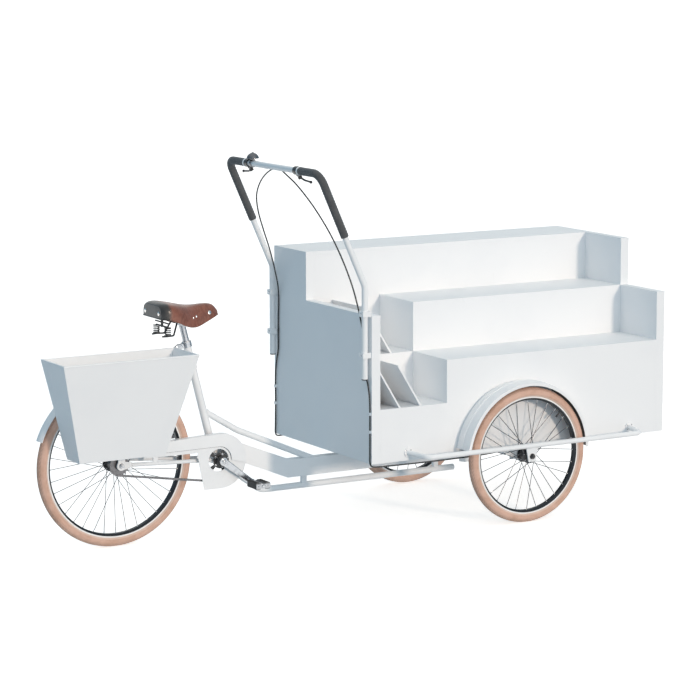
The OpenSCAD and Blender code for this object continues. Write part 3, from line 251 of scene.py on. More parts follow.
def powder_coat(name, axle=None):
    """White powder coat rippled like an orange's skin, with sharp edges lightened as a painted highlight;
    faces turned to an axle are painted dark brown, painted shade mixed with mottled road grime.
    """
    s = Shader(name, Coat_Weight=0.25, Coat_Roughness=0.12, Specular_IOR_Level=0.5)
    ripple = s.noise(420, 2, 0.45)
    cloud = s.between(s.noise(7, 4, 0.6), 0.4, 0.75)
    edge = s.edges(1.2 * MM)
    dust = s.between(s.noise(40, 4, 0.65), 0.55, 0.8)
    height = s.from_point((0, 0, 0))[2]
    low = s.times(dust, s.between(height, 0.34, 0.12))
    paint = s.mix(cloud, (0.90, 0.905, 0.91, 1), (0.86, 0.87, 0.88, 1))
    paint = s.mix(s.times(low, 0.35), paint, (0.66, 0.63, 0.59, 1))
    # Faces turned towards the axle are painted dark brown: painted shade under the guard, mixed with
    # mottled road grime.
    if axle:
        x, _, z = s.from_point(axle)
        facing = s.add("ShaderNodeSeparateXYZ")
        s.put(facing.inputs[0], s.add("ShaderNodeTexCoord").outputs["Normal"])
        away = s.plus(s.times(x, facing.outputs[0]), s.times(z, facing.outputs[2]))
        shade_and_grime = s.mix(dust, linear(70, 60, 52), linear(96, 84, 74))
        paint = s.mix(s.between(away, 0.0, -0.04), paint, shade_and_grime)
    # Sharp edges are lightened towards white: a painted highlight.
    s.feed(Base_Color=s.mix(s.times(edge, 0.5), paint, (0.95, 0.955, 0.96, 1)),
           Roughness=s.span(s.noise(30, 3), 0.26, 0.40),
           Normal=s.bump(ripple, 0.06 * MM, 0.3, s.soft_edges(0.8 * MM)))
    return s.material


def metal(name, bright, dull, rough, grain, streak=(1, 1, 1), soft=0.5):
    """Bare or plated metal with fine polishing marks and a cloudy tarnish."""
    s = Shader(name, Metallic=1.0)
    marks = s.noise(grain, 4, 0.6, s.stretched(*streak))
    tarnish = s.between(s.noise(60, 5, 0.65), 0.45, 0.8)
    wear = s.plus(s.times(marks, 0.7), s.times(tarnish, 0.3))
    s.feed(Base_Color=s.mix(tarnish, bright, dull), Roughness=s.span(wear, *rough),
           Normal=s.bump(marks, 0.02 * MM, 0.25, s.soft_edges(soft * MM)))
    return s.material


def tyre_rubber(name, axle, radius):
    """Tan rubber: lined side walls, a patterned tread and a little road dust."""
    s = Shader(name, Specular_IOR_Level=0.35, Sheen_Weight=0.15, Sheen_Roughness=0.5)
    r, turn, y = s.round_axle(axle)
    out = s.between(r, radius - 9 * MM, radius - 5 * MM)
    ribs = s.math("SINE", s.times(r, 2 * math.pi / (2.1 * MM)))
    slant = s.plus(s.times(turn, 120), s.times(s.math("ABSOLUTE", y), 900))
    blocks = s.between(s.math("SINE", slant), -0.35, 0.15)
    grooves = s.between(s.math("SINE", s.times(y, 2 * math.pi / (7 * MM))), -0.9, -0.55)
    tread = s.times(blocks, grooves)
    cloud = s.between(s.noise(18, 5, 0.6), 0.35, 0.75)
    speck = s.between(s.noise(900, 2, 0.6), 0.62, 0.8)
    rubber = s.mix(cloud, linear(224, 184, 164), linear(206, 164, 141))
    groove = s.times(s.math("SUBTRACT", 1.0, tread), out)
    dusty = s.mix(s.times(groove, 0.4), rubber, linear(164, 128, 110))
    dusty = s.mix(s.times(out, 0.12), dusty, linear(182, 148, 128))
    bead = s.between(r, radius - TYRE_SEAT + 5 * MM, radius - TYRE_SEAT + 2 * MM)
    tone = s.mix(s.times(bead, 0.5), dusty, linear(236, 214, 200))
    wall = s.times(s.math("SUBTRACT", 1.0, out), s.times(ribs, 0.12))
    height = s.plus(s.times(groove, -0.4), wall)
    height = s.plus(height, s.times(s.noise(700, 2), 0.15))
    s.feed(Base_Color=s.mix(s.times(speck, 0.12), tone, linear(160, 128, 112)),
           Roughness=s.span(cloud, 0.58, 0.74), Normal=s.bump(height, 0.8 * MM, 0.6))
    return s.material


def rim_finish(name, axle, radius):
    """Bright side wall with fine turning lines over a charcoal inner face."""
    s = Shader(name)
    r = s.round_axle(axle)[0]
    wall = s.between(r, radius - TYRE_SEAT - RIM_H * 0.52, radius - TYRE_SEAT - RIM_H * 0.46)
    lines = s.math("SINE", s.times(r, 2 * math.pi / (0.9 * MM)))
    cloud = s.noise(40, 4, 0.6)
    dark = s.mix(cloud, linear(58, 62, 66), linear(42, 45, 49))
    light = s.mix(cloud, linear(246, 244, 242), linear(226, 224, 222))
    s.feed(Base_Color=s.mix(wall, dark, light), Metallic=s.span(wall, 0.75, 0.15),
           Roughness=s.span(cloud, 0.30, 0.46),
           Normal=s.bump(lines, 0.03 * MM, 0.2, s.soft_edges(0.8 * MM)))
    return s.material


def hub_finish(name, axle, flange):
    """Black enamel hub with bright flange rims and stainless spokes."""
    s = Shader(name)
    r = s.round_axle(axle)[0]
    spoke = s.between(r, flange - 0.5 * MM, flange + 0.8 * MM)
    lip = s.times(s.between(r, flange - 7 * MM, flange - 6 * MM), s.math("SUBTRACT", 1.0, spoke))
    cloud = s.noise(70, 4, 0.6)
    enamel = s.mix(cloud, linear(30, 31, 33), linear(44, 45, 48))
    ring = s.mix(cloud, linear(84, 86, 90), linear(50, 52, 56))
    wire = s.mix(cloud, linear(100, 102, 106), linear(76, 78, 82))
    s.feed(Base_Color=s.mix(spoke, s.mix(lip, enamel, ring), wire),
           Metallic=s.math("MAXIMUM", spoke, s.times(lip, 0.8)),
           Roughness=s.span(cloud, 0.26, 0.42), Normal=s.bump(s.noise(500, 2), 0.02 * MM, 0.3))
    return s.material


def dark_enamel():
    """Black paint over steel, thinner and brighter on the edges."""
    s = Shader("dark_enamel", Coat_Weight=0.3, Coat_Roughness=0.15)
    edge = s.edges(0.8 * MM)
    cloud = s.noise(55, 4, 0.65)
    tone = s.mix(cloud, linear(52, 52, 54), linear(30, 31, 33))
    s.feed(Base_Color=s.mix(s.times(edge, 0.6), tone, linear(120, 122, 126)),
           Metallic=s.span(edge, 0.2, 0.8), Roughness=s.span(cloud, 0.28, 0.46),
           Normal=s.bump(s.noise(600, 2), 0.03 * MM, 0.3, s.soft_edges(0.5 * MM)))
    return s.material


def pedal_finish(node, inner_y, outward):
    """Black rubber blocks between bright end plates, with a bright spindle along the middle."""
    s = Shader(node + "_finish")
    x, y, _ = s.from_point((middle(node).x, inner_y, 0))
    out = s.times(y, float(outward))
    block = s.times(s.between(out, 15.8 * MM, 16.2 * MM), s.between(out, 92.2 * MM, 91.8 * MM))
    block = s.times(block, s.between(s.math("ABSOLUTE", x), 10.8 * MM, 11.2 * MM))
    cloud = s.noise(120, 4, 0.6)
    rubber = s.mix(cloud, linear(44, 44, 45), linear(66, 66, 67))
    dull = s.plus(s.times(block, 0.75), s.times(cloud, 0.25))
    s.feed(Base_Color=s.mix(block, s.mix(cloud, *PLATED), rubber), Metallic=s.span(block, 1.0, 0.0),
           Roughness=s.span(dull, 0.14, 0.8), Normal=s.bump(cloud, 0.3 * MM, 0.5, s.soft_edges(0.5 * MM)))
    return s.material


def painted_step_shadow():
    """Painted shade: a mottled grey that stands in for the shadow line under the chain guard's step."""
    s = Shader("painted_step_shadow", Specular_IOR_Level=0.2)
    cloud = s.noise(160, 4, 0.6)
    s.feed(Base_Color=s.mix(cloud, linear(150, 152, 154), linear(120, 122, 124)),
           Roughness=s.span(cloud, 0.6, 0.8), Normal=s.bump(cloud, 0.1 * MM, 0.4))
    return s.material


def pedal_rubber():
    """Dull black rubber, greyed where shoes have rubbed it."""
    s = Shader("pedal_tread", Specular_IOR_Level=0.35)
    cloud = s.noise(120, 4, 0.6)
    worn = s.edges(0.6 * MM)
    tone = s.mix(cloud, linear(44, 44, 45), linear(64, 64, 65))
    s.feed(Base_Color=s.mix(s.times(worn, 0.5), tone, linear(92, 92, 92)),
           Roughness=s.span(cloud, 0.6, 0.8), Normal=s.bump(s.noise(700, 3), 0.12 * MM, 0.5))
    return s.material


def leather():
    """Waxed brown leather, black over the last few centimetres at the rear, with grain, creases and rubbed
    high spots.
    """
    s = Shader("leather", Specular_IOR_Level=0.5, Coat_Weight=0.4, Coat_Roughness=0.24)
    x = s.from_point(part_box("saddle_leather")[0])[0]
    ragged = s.plus(x, s.times(s.math("SUBTRACT", s.noise(26, 4), 0.5), 0.016))
    rear = s.between(ragged, 0.046, 0.024)
    grain = s.cells(420)
    pores = s.noise(900, 3, 0.6)
    wrinkle = s.between(s.noise(60, 5, 0.65, s.stretched(2.4, 0.7, 1)), 0.42, 0.62)
    cloud = s.between(s.noise(22, 4, 0.6), 0.35, 0.72)
    brown = s.mix(cloud, linear(134, 77, 57), linear(108, 60, 44))
    brown = s.mix(s.times(wrinkle, 0.35), brown, linear(158, 102, 79))
    black = s.mix(cloud, linear(30, 28, 28), linear(44, 42, 41))
    height = s.plus(s.times(grain, 0.6), s.times(pores, 0.4))
    height = s.plus(height, s.times(wrinkle, 0.8))
    s.feed(Base_Color=s.mix(rear, brown, black), Roughness=s.span(cloud, 0.34, 0.50),
           Normal=s.bump(height, 0.35 * MM, 0.5))
    return s.material


def foam():
    """Dark closed-cell foam with fine cells and shallow diagonal wraps."""
    s = Shader("foam", Specular_IOR_Level=0.3, Sheen_Weight=0.35, Sheen_Roughness=0.45)
    s.surface.inputs["Sheen Tint"].default_value = (0.85, 0.87, 0.9, 1)
    cell = s.cells(1100)
    pores = s.noise(600, 4, 0.7)
    cloud = s.noise(30, 4, 0.6)
    tone = s.mix(cloud, linear(98, 99, 100), linear(74, 75, 77))
    s.feed(Base_Color=s.mix(s.between(cell, 0.25, 0.05), tone, linear(48, 49, 51)),
           Roughness=s.span(cloud, 0.72, 0.9),
           Normal=s.bump(s.plus(cell, pores), 0.35 * MM, 0.55))
    return s.material


def sheath():
    """Satin black plastic sheath over a wound cable."""
    s = Shader("sheath", Specular_IOR_Level=0.45)
    cloud = s.noise(90, 3, 0.6)
    s.feed(Base_Color=s.mix(cloud, linear(34, 36, 38), linear(52, 54, 56)),
           Roughness=s.span(cloud, 0.36, 0.52), Normal=s.bump(s.noise(800, 2), 0.05 * MM, 0.4))
    return s.material


# Bright and dull tones of plated metals
PLATED = ((0.50, 0.51, 0.53, 1), (0.36, 0.37, 0.39, 1))
CHROMED = ((0.54, 0.55, 0.57, 1), (0.40, 0.41, 0.43, 1))

BOARD = painted_board()
COAT = powder_coat("powder_coat")
# The front guards' coat: its faces turned to the front axle carry painted shade.
GUARD = powder_coat("guard_coat", FRONT_AXLE)
STEEL = metal("plated_steel", *PLATED, (0.20, 0.38), 300, (1, 6, 1))
CHROME = metal("chrome", *CHROMED, (0.06, 0.18), 420)
CRANK = metal("crank_chrome", *CHROMED, (0.10, 0.22), 420, soft=6)
BELL = metal("bell_chrome", (0.20, 0.20, 0.21, 1), (0.12, 0.12, 0.13, 1), (0.08, 0.20), 420)
RIVET = metal("rivet_nickel", (0.86, 0.83, 0.79, 1), (0.72, 0.69, 0.66, 1), (0.10, 0.24), 420)
CHAIN = metal("chain_steel", (0.17, 0.17, 0.18, 1), (0.09, 0.09, 0.09, 1), (0.28, 0.48), 300)
DARK = dark_enamel()
LEATHER = leather()
FOAM = foam()
SHEATH = sheath()
RUBBER = pedal_rubber()
# A grey that stands in for a shadow line: painted shade.
STEP_SHADOW = painted_step_shadow()

FINISHES = {
    BOARD: "pannier_box cart_floor rear_end_panel front_end_panel right_side_panel left_side_panel"
           " lower_shelf middle_riser upper_shelf top_riser top_deck partition"
           " pocket_floors pocket_dividers",
    COAT: "main_beam upper_tube lower_tube seat_tube chain_stays seat_stays rear_mudguard chain_guard"
          " pannier_rack cart_underframe outer_rails front_mudguards handlebar_hoop panel_clips",
    STEEL: "rear_axle front_axles seat_post",
    CHAIN: "chain rear_sprocket",
    CHROME: "seat_clamp seat_lever",
    CRANK: "crank_right crank_left",
    BELL: "bell bell_lever",
    DARK: "chainring saddle_frame saddle_springs lever_clamps brake_lever_right brake_lever_left",
}


def dress(node, material):
    data = nodes[node].data
    data.materials.clear()
    data.materials.append(material)
    for polygon in data.polygons:
        polygon.material_index = 0


for finish, names in FINISHES.items():
    for name in names.split():
        dress(name, finish)
for side, axle, radius, flange in (("right", RIGHT_AXLE, FRONT_WHEEL_R, FRONT_FLANGE * MM),
                                   ("left", LEFT_AXLE, FRONT_WHEEL_R, FRONT_FLANGE * MM),
                                   ("rear", REAR_AXLE, REAR_WHEEL_R, REAR_FLANGE * MM)):
    dress(side + "_tyre", tyre_rubber(side + "_tyre_rubber", axle, radius))
    dress(side + "_rim", rim_finish(side + "_rim_finish", axle, radius))
    dress(side + "_hub", hub_finish(side + "_hub_finish", axle, flange))
for name, inner_y, outward in PEDAL_SIDES:
    dress("pedal_" + name, pedal_finish("pedal_" + name, inner_y * MM, outward))


# Meshes
class Form:
    """Points and faces that gather into one mesh."""

    def __init__(self):
        self.points, self.faces = [], []

    def grid(self, rows, closed=False, caps=False):
        """A skin over rows of equally many points; closed joins each row's ends."""
        first, wide = len(self.points), len(rows[0])
        for row in rows:
            self.points.extend(row)
        for i in range(len(rows) - 1):
            for k in range(wide if closed else wide - 1):
                a, b = first + i * wide + k, first + i * wide + (k + 1) % wide
                self.faces.append((a, b, b + wide, a + wide))
        if caps:
            self.faces.append(tuple(range(first + wide - 1, first - 1, -1)))
            last = first + (len(rows) - 1) * wide
            self.faces.append(tuple(range(last, last + wide)))

    def tube(self, path, radius, sides=12):
        """A round tube along a path; the radius is a number or a rule of the point and the turn."""
        wide = radius if callable(radius) else lambda i, t: radius
        last = len(path) - 1
        side = None
        rows = []
        for i, point in enumerate(path):
            ahead = (path[min(i + 1, last)] - path[max(i - 1, 0)]).normalized()
            side = side or ahead.orthogonal()
            side = (side - ahead * side.dot(ahead)).normalized()
            other = ahead.cross(side)
            rows.append([point + wide(i, t) * (math.cos(t) * side + math.sin(t) * other)
                         for t in (2 * math.pi * k / sides for k in range(sides))])
        self.grid(rows, closed=True, caps=True)

    def lathe(self, origin, axis, profile, sides=20):
        """Turns (distance along the axis, radius) pairs about an axis."""
        axis = Vector(axis).normalized()
        across = axis.orthogonal().normalized()
        other = axis.cross(across)
        self.grid([[origin + axis * along + max(radius, 1e-5) * (math.cos(t) * across + math.sin(t) * other)
                    for t in (2 * math.pi * k / sides for k in range(sides))] for along, radius in profile],
                  closed=True, caps=True)

    def ring(self, centre, axis, radius, thick, ripples=0):
        """A bead round an axis, with the ripples that welding leaves."""
        axis = Vector(axis).normalized()
        across = axis.orthogonal().normalized()
        other = axis.cross(across)
        steps, sides = 72, 8
        rows = []
        for i in range(steps + 1):
            a = 2 * math.pi * i / steps
            out = math.cos(a) * across + math.sin(a) * other
            r = thick * (1 + 0.14 * math.sin(ripples * a))
            rows.append([centre + out * (radius + r * math.cos(t)) + axis * r * math.sin(t)
                         for t in (2 * math.pi * k / sides for k in range(sides))])
        self.grid(rows, closed=True)

    def shape(self, outline, centre, along, up, out, thick):
        """A flat outline of (along, up) pairs, given a thickness towards out."""
        def row(depth):
            return [centre + along * a + up * b + out * depth for a, b in outline]
        self.grid([row(0), row(thick)], closed=True, caps=True)

    def mesh(self, name, material, smooth=40):
        """The object, with its faces turned outwards and edges sharper than an angle kept sharp."""
        data = bpy.data.meshes.new(name)
        work = bmesh.new()
        points = [work.verts.new(p) for p in self.points]
        for face in self.faces:
            work.faces.new([points[k] for k in face]).smooth = True
        bmesh.ops.remove_doubles(work, verts=work.verts, dist=1e-6)
        bmesh.ops.recalc_face_normals(work, faces=work.faces)
        for edge in work.edges:
            edge.smooth = len(edge.link_faces) != 2 or edge.calc_face_angle(0) < math.radians(smooth)
        work.to_mesh(data)
        work.free()
        data.materials.append(material)
        piece = bpy.data.objects.new(name, data)
        bpy.context.scene.collection.objects.link(piece)
        return piece

    def make(self, name, material, body, slot, smooth=40):
        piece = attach(self.mesh(name, material, smooth), body)
        return piece


def turned(form, point, axis, profile, sides=16):
    """Adds a lathe whose profile is in millimetres."""
    form.lathe(point, axis, [(a * MM, r * MM) for a, r in profile], sides)


def bent(corners, radius, steps):
    """A path through corners, each inner one rounded to a radius."""
    path = [corners[0]]
    for before, corner, after in zip(corners, corners[1:], corners[2:]):
        u, v = (corner - before).normalized(), (after - corner).normalized()
        turn = u.angle(v)
        trim = radius * math.tan(turn / 2)
        centre = corner - u * trim + (v - u * u.dot(v)).normalized() * radius
        start = corner - u * trim - centre
        axis = u.cross(v).normalized()
        path += [centre + Matrix.Rotation(turn * i / steps, 3, axis) @ start for i in range(steps + 1)]
    return path + [corners[-1]]


def evenly(path, step):
    """The same path with points about one step apart."""
    result = [path[0]]
    for a, b in zip(path, path[1:]):
        count = max(1, round((b - a).length / step))
        result += [a.lerp(b, (i + 1) / count) for i in range(count)]
    return result


def through(points, steps):
    """A smooth path through points."""
    last = len(points) - 1
    path = []
    for i in range(last):
        a, b, c, d = (points[k] for k in (max(i - 1, 0), i, i + 1, min(i + 2, last)))
        for s in range(steps):
            t = s / steps
            path.append(0.5 * (2 * b + (c - a) * t + (2 * a - 5 * b + 4 * c - d) * t ** 2
                               + (3 * b - 3 * c + d - a) * t ** 3))
    return path + [points[last]]


# Saddle leather, lofted along its length from the rear to the nose
SADDLE_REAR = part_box("saddle_leather")[0].x
SADDLE_LEN = 282 * MM
SADDLE_TOP = 957 * MM
SADDLE_HALF_W = 98 * MM
LEATHER_T = 5 * MM
# Place along the length, half width, drop of the crest and of the lower edge, and roundness
LEATHER_PLAN = [Vector(row) for row in (
    (0, 0.8, 0.036, 0.216, 0.45), (0.05, 0.92, 0.013, 0.22, 0.47), (0.13, 0.98, 0.007, 0.23, 0.5),
    (0.25, 0.95, 0.025, 0.273, 0.56), (0.38, 0.83, 0.053, 0.33, 0.62), (0.5, 0.65, 0.075, 0.365, 0.68),
    (0.62, 0.51, 0.082, 0.369, 0.75), (0.74, 0.43, 0.076, 0.33, 0.8), (0.85, 0.36, 0.079, 0.287, 0.85),
    (0.93, 0.28, 0.103, 0.259, 0.88), (1, 0.14, 0.175, 0.24, 0.9))]


def leather_point(row, a, inset=0.0):
    """A point of a station, from the left lower edge at 0 over the crest to the right one at pi."""
    f, wide, crest, low, power = row
    x = SADDLE_REAR + inset + f * (SADDLE_LEN - 2 * inset)
    top, foot = SADDLE_TOP - crest * SADDLE_LEN - inset, SADDLE_TOP - low * SADDLE_LEN
    y = math.copysign(abs(math.cos(a)) ** power, math.cos(a)) * (wide * SADDLE_HALF_W - inset)
    return Vector((x, y, foot + (top - foot) * max(0.0, math.sin(a)) ** power))


def saddle():
    ribs = 40
    stations = through(LEATHER_PLAN, 6)
    turns = [math.pi * k / ribs for k in range(ribs + 1)]
    outer = [[leather_point(row, a) for a in turns] for row in stations]
    inner = [[leather_point(row, a, LEATHER_T) for a in turns] for row in stations]
    form = Form()
    for skin, swell in ((outer, 2 * MM), (inner, 0)):
        form.grid(skin)
        for row, out in ((skin[0], -1), (skin[-1], 1)):
            centre = (row[0] + row[-1]) / 2
            bulge = [(share, Vector((out * swell * (1 - share ** 2), 0, 0)))
                     for share in (1, 0.97, 0.9, 0.75, 0.5, 0.25, 0.05)]
            form.grid([[centre + (p - centre) * share + shift for p in row] for share, shift in bulge])
    for k in (0, -1):
        form.grid([[row[k] for row in outer], [row[k] for row in inner]])
    for k in (0, -1):
        form.grid([[outer[k][0], outer[k][-1]], [inner[k][0], inner[k][-1]]])
    piece = form.make("saddle_cover", LEATHER, "seat", "brown_leather", 75)
    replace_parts(piece, "saddle_leather")

    edge = [row[0] for row in outer[::-1]] + [row[-1] for row in outer]
    roll = Form()
    roll.tube(edge, 2.6 * MM, 10)
    roll.make("saddle_rolled_edge", LEATHER, "seat", "brown_leather")

    rivets = Form()
    dome = ((-2.5, 1.0), (0.6, 1.0), (1.3, 0.82), (2.0, 0.48), (2.3, 0.1))
    spots = [(at(-1466, side * 58, 916), Vector((-1, 0, 0)), 8.4) for side in (-1, 1)]
    for f, z, radius in ((0.79, 903, 8.0), (0.53, 886, 4.2), (0.59, 890, 4.8)):
        i = round(f * (len(stations) - 1))
        for side in (-1, 1):
            row = outer[i] if side < 0 else outer[i][::-1]
            k = min(range(2, ribs // 2), key=lambda n: abs(row[-1 - n].z - z * MM))
            here, up = row[-1 - k], row[-2 - k] - row[-k]
            ahead = (outer[i + 1] if side < 0 else outer[i + 1][::-1])[-1 - k] - here
            out = ahead.cross(up)
            spots.append((here, out if out.y * side > 0 else -out, radius))
    for point, out, radius in spots:
        turned(rivets, point, out, [(a, r * radius) for a, r in dome], 20)
    rivets.make("saddle_rivets", RIVET, "seat", "steel")


saddle()


def grips():
    """Foam on the hoop's corners, wound on the slant, with a white band at each inner end."""
    inner_y, down = 214, 230
    slope = Vector((-math.sin(HOOP_LEAN), 0, math.cos(HOOP_LEAN)))
    bands = Form()
    for name, side in (("right", -1), ("left", 1)):
        corner = at(BAR_X, side * HOOP_HALF_W, HOOP_TOP)
        ends = [at(BAR_X, side * inner_y, HOOP_TOP), corner, corner - slope * (down + HOOP_CORNER) * MM]
        path = evenly(bent(ends, HOOP_CORNER * MM, 24), 1.5 * MM)
        last = len(path) - 1

        def wound(i, t):
            groove = 0.5 + 0.5 * math.cos(2 * math.pi * i / 8 + side * t)
            return HOOP_R + (3.9 - 0.8 * groove ** 2 - 0.9 * (min(i, last - i) == 0)) * MM

        form = Form()
        form.tube(path, wound, 32)
        piece = form.make("foam_grip_" + name, FOAM, "cart", "grip_foam")
        if side < 0:
            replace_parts(piece, "foam_grips")
        profile = ((0, 13.2), (0, 16.8), (1, 17.5), (8, 17.5), (9, 16.8), (9, 13.2))
        turned(bands, at(BAR_X, side * (inner_y + 1), HOOP_TOP), (0, side, 0), profile, 32)
    bands.make("grip_bands", COAT, "cart", "white_metal")


grips()

# Brake cables: a lever, along the bar, across to the other leg, down the rear panel and under the box
LEAD_X, LEAD_Y = BAR_X + 20, 183.6
RIGHT_ROUTE = [
    (LEAD_X, LEAD_Y, 1458), (LEAD_X + 1, 120, 1460), (LEAD_X + 2, 40, 1459), (LEAD_X + 3, -20, 1451),
    (LEAD_X + 6, -75, 1430), (-884, -138, 1392), (-855, -208, 1318), (-812, -250, 1225), (-772, -266, 1138),
    (-739, -272, 1060), (-716, -286, 980), (-705, -312, 890), (-703, -342, 800), (-703, -354, 740),
    (-703, -355, 660), (-703, -375, 610), (-703, -388, 545), (-703, -389, 428), (-703, -389, 335),
    (-703, -389.5, 306), (-697.7, -390.3, 290.3), (-685, -391.5, 285), (-660, -395, 284), (-620, -400, 284),
    (-420, -407, 284), (-220, -413, 287), (-90, -421, 296)]
LEFT_ROUTE = [
    (LEAD_X, -LEAD_Y, 1458), (LEAD_X + 6, -120, 1461), (LEAD_X + 11, -40, 1460), (LEAD_X + 13, 40, 1451),
    (LEAD_X + 14, 110, 1426), (-882, 178, 1383), (-866, 238, 1324), (-843, 267, 1255), (-812, 283, 1180),
    (-780, 294, 1105), (-754, 307, 1040), (-731, 323, 980), (-712, 338, 925), (-703.5, 349, 870),
    (-703, 353, 800), (-703, 354, 740), (-703, 355, 660), (-703, 370, 610), (-703, 380, 545),
    (-703, 380, 428), (-703, 382, 335), (-703, 383.5, 306), (-697.7, 385.5, 290.3), (-685, 388, 285),
    (-660, 393.5, 284), (-620, 400, 284), (-420, 407, 284), (-220, 413, 287), (-90, 421, 296)]


def cables():
    sleeves = Form()
    for name, route in (("right", RIGHT_ROUTE), ("left", LEFT_ROUTE)):
        path = through([at(*p) for p in route], 8)
        form = Form()
        form.tube(path, CABLE_R, 12)
        piece = form.make("cable_sheath_" + name, SHEATH, "cart", "cable_sheath")
        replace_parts(piece, "brake_cable_" + name)
        for end, inward in ((path[0], path[1]), (path[-1], path[-2])):
            profile = ((-1, 2.6), (-1, 3.9), (7, 3.9), (8, 3.6), (13, 3.5), (13.5, 2.8))
            turned(sleeves, end, inward - end, profile)
    sleeves.make("cable_ferrules", STEEL, "cart", "steel")


cables()


# Small parts
# Spoke count, flange radius, flange place and rim's inner radius in millimetres, and lacing in degrees
FRONT_SPOKES = (28, FRONT_FLANGE, 19, 228, 50)
REAR_SPOKES = (36, REAR_FLANGE, 29, 280, 32)


def bolt_head(form, point, axis, radius, high):
    turned(form, point, axis, ((-0.5, radius * 1.3), (0.8, radius * 1.3), (0.8, radius * 1.12)), 18)
    turned(form, point, axis, ((0.6, radius), (high - 0.7, radius), (high, radius * 0.82)), 6)


def laced(hub, count, flange, flange_y, rim_in, lace):
    """Each spoke's two ends and the way its head faces, from alternate flanges and crossing in pairs."""
    for k in range(count):
        side = 1 if k % 2 == 0 else -1
        lead = 1 if k // 2 % 2 == 0 else -1
        a = 2 * math.pi * k / count
        h = a + lead * math.radians(lace)
        start = polar(flange - 5, h, side * (flange_y + lead * 2.2))
        end = polar(rim_in, a, side * 2)
        yield hub + start * MM, hub + end * MM, side * lead


def wheel_details(name, body, hub, count, flange, flange_y, rim_in, lace):
    """Spoke heads on the flanges, nipples at the rim and a tyre valve."""
    form = Form()
    for start, end, out in laced(hub, count, flange, flange_y, rim_in, lace):
        turned(form, start, (0, out, 0), ((-1, 2.0), (0.9, 2.3), (1.8, 1.8), (2.2, 0.4)), 8)
        turned(form, end, end - start, ((-12, 1.3), (-11.4, 1.9), (-1.4, 2.0), (0.4, 3.0), (1.0, 3.0)), 8)
    form.make(name + "_nipples", STEEL, body, "steel")
    out = polar(1, 2 * math.pi * 3.5 / count)
    valve = Form()
    profile = ((-1, 4.5), (1, 4.2), (2, 3.1), (16, 2.9), (16.5, 3.9), (25, 3.7), (26, 2.6))
    turned(valve, hub + out * rim_in * MM, -out, profile, 16)
    valve.make(name + "_valve", SHEATH, body, "cable_sheath")


def front_hub(name, hub):
    """A black hub with its spokes, as small as the photograph shows it."""
    form = Form()
    half = ((0, 25), (15, 25), (17.2, 26.5), (17.4, FRONT_FLANGE - 0.6), (18, FRONT_FLANGE),
            (20, FRONT_FLANGE), (20.6, FRONT_FLANGE - 0.6), (20.8, 21), (22, 19.5), (23, 18.5), (23, 9))
    turned(form, hub, (0, 1, 0), [(-a, r) for a, r in half[:0:-1]] + list(half), 40)
    for start, end, _ in laced(hub, *FRONT_SPOKES):
        form.tube([start, end], 1.4 * MM, 6)
    finish = nodes[name + "_hub"].data.materials[0]
    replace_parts(form.make(name + "_laced_hub", finish, name + "_wheel", "black_hub"), name + "_hub")


def front_axles():
    """Fixed axles with their nuts, and the brakes' cover plates and arms."""
    form, nuts = Form(), Form()
    along, up = polar(1, math.radians(-30)), polar(1, math.radians(60))
    ends = [math.radians(v) for v in range(-90, 91, 18)]
    arm = [(41 + 7 * math.cos(t), 7 * math.sin(t)) for t in ends]
    arm += [(-33 - 7 * math.cos(t), -7 * math.sin(t)) for t in ends]
    for side in (-1, 1):
        out = Vector((0, side, 0))
        for part, profile, sides in (
                (form, ((395, 6), (401, 6), (401, 9), (431, 9), (431, 22), (432, 22), (432, 33), (433, 34),
                        (436, 34), (437, 33), (437, 9)), 40),
                (form, ((485.3, 6), (485.3, 9), (497.5, 9), (497.5, 6)), 24),
                (nuts, ((502.5, 6), (502.5, 11.6), (504.5, 12), (504.5, 6)), 28),
                (nuts, ((504.5, 8), (504.5, 9.6), (505, 10), (511.6, 10), (512.5, 9.2), (512.5, 6)), 6),
                (nuts, ((512, 6), (514.6, 6), (515.5, 5.2)), 20)):
            turned(part, FRONT_AXLE, out, profile, sides)
        centre = at(-54, 0, FRONT_R)
        form.shape([(a * MM, b * MM) for a, b in arm], centre + out * 424 * MM, along, up, out, 4 * MM)
        turned(form, centre + along * 34 * MM, out, ((427, 6), (432.6, 6)), 20)
        turned(form, centre - along * 34 * MM, out, ((418, 5), (418.6, 6), (425, 6)), 20)
    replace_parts(form.make("front_axle_set", COAT, "cart", "steel"), "front_axles")
    nuts.make("front_axle_nuts", DARK, "cart", "steel")


def front_guards():
    """Mudguards over the front wheels' upper half, with a rib, a turned-down lip and a rolled edge."""
    inner_y, wide, thick, crown, lip = 395.3, 92, 2.4, 5, 9
    radius, nearer = 303, 9
    first, last, steps = 9, 178, 84
    # Place across the strip from -1 to 1, and the rib's height there
    section = ((-1, 0), (-0.75, 0), (-0.5, 0), (-0.25, 0), (-0.13, 0), (-0.11, 2), (0.03, 2), (0.05, 0),
               (0.25, 0), (0.5, 0), (0.75, 0), (1, 0))
    shells, edges = Form(), Form()
    for side in (-1, 1):
        rows, edge = [], []
        for i in range(steps + 1):
            a = math.radians(first + (last - first) * i / steps)
            r = radius - nearer * max(0.0, 2 * i / steps - 1)

            def spot(y, q):
                return at(-q * math.cos(a), side * (inner_y + y), FRONT_R + q * math.sin(a))

            foot = r - crown - lip
            rows.append([spot(wide * (v + 1) / 2, r + thick - crown * v * v + rib) for v, rib in section]
                        + [spot(wide, foot), spot(wide - thick, foot), spot(wide - thick, r - crown)]
                        + [spot(wide * (v + 1) / 2, r - crown * v * v) for v, _ in section[-2::-1]])
            edge.append(spot(wide - thick / 2, foot))
        shells.grid(rows, closed=True, caps=True)
        edges.tube(edge, 1.8 * MM, 8)
    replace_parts(shells.make("front_guard_strips", GUARD, "cart", "white_metal", 30), "front_mudguards")
    edges.make("front_guard_edges", COAT, "cart", "white_metal")


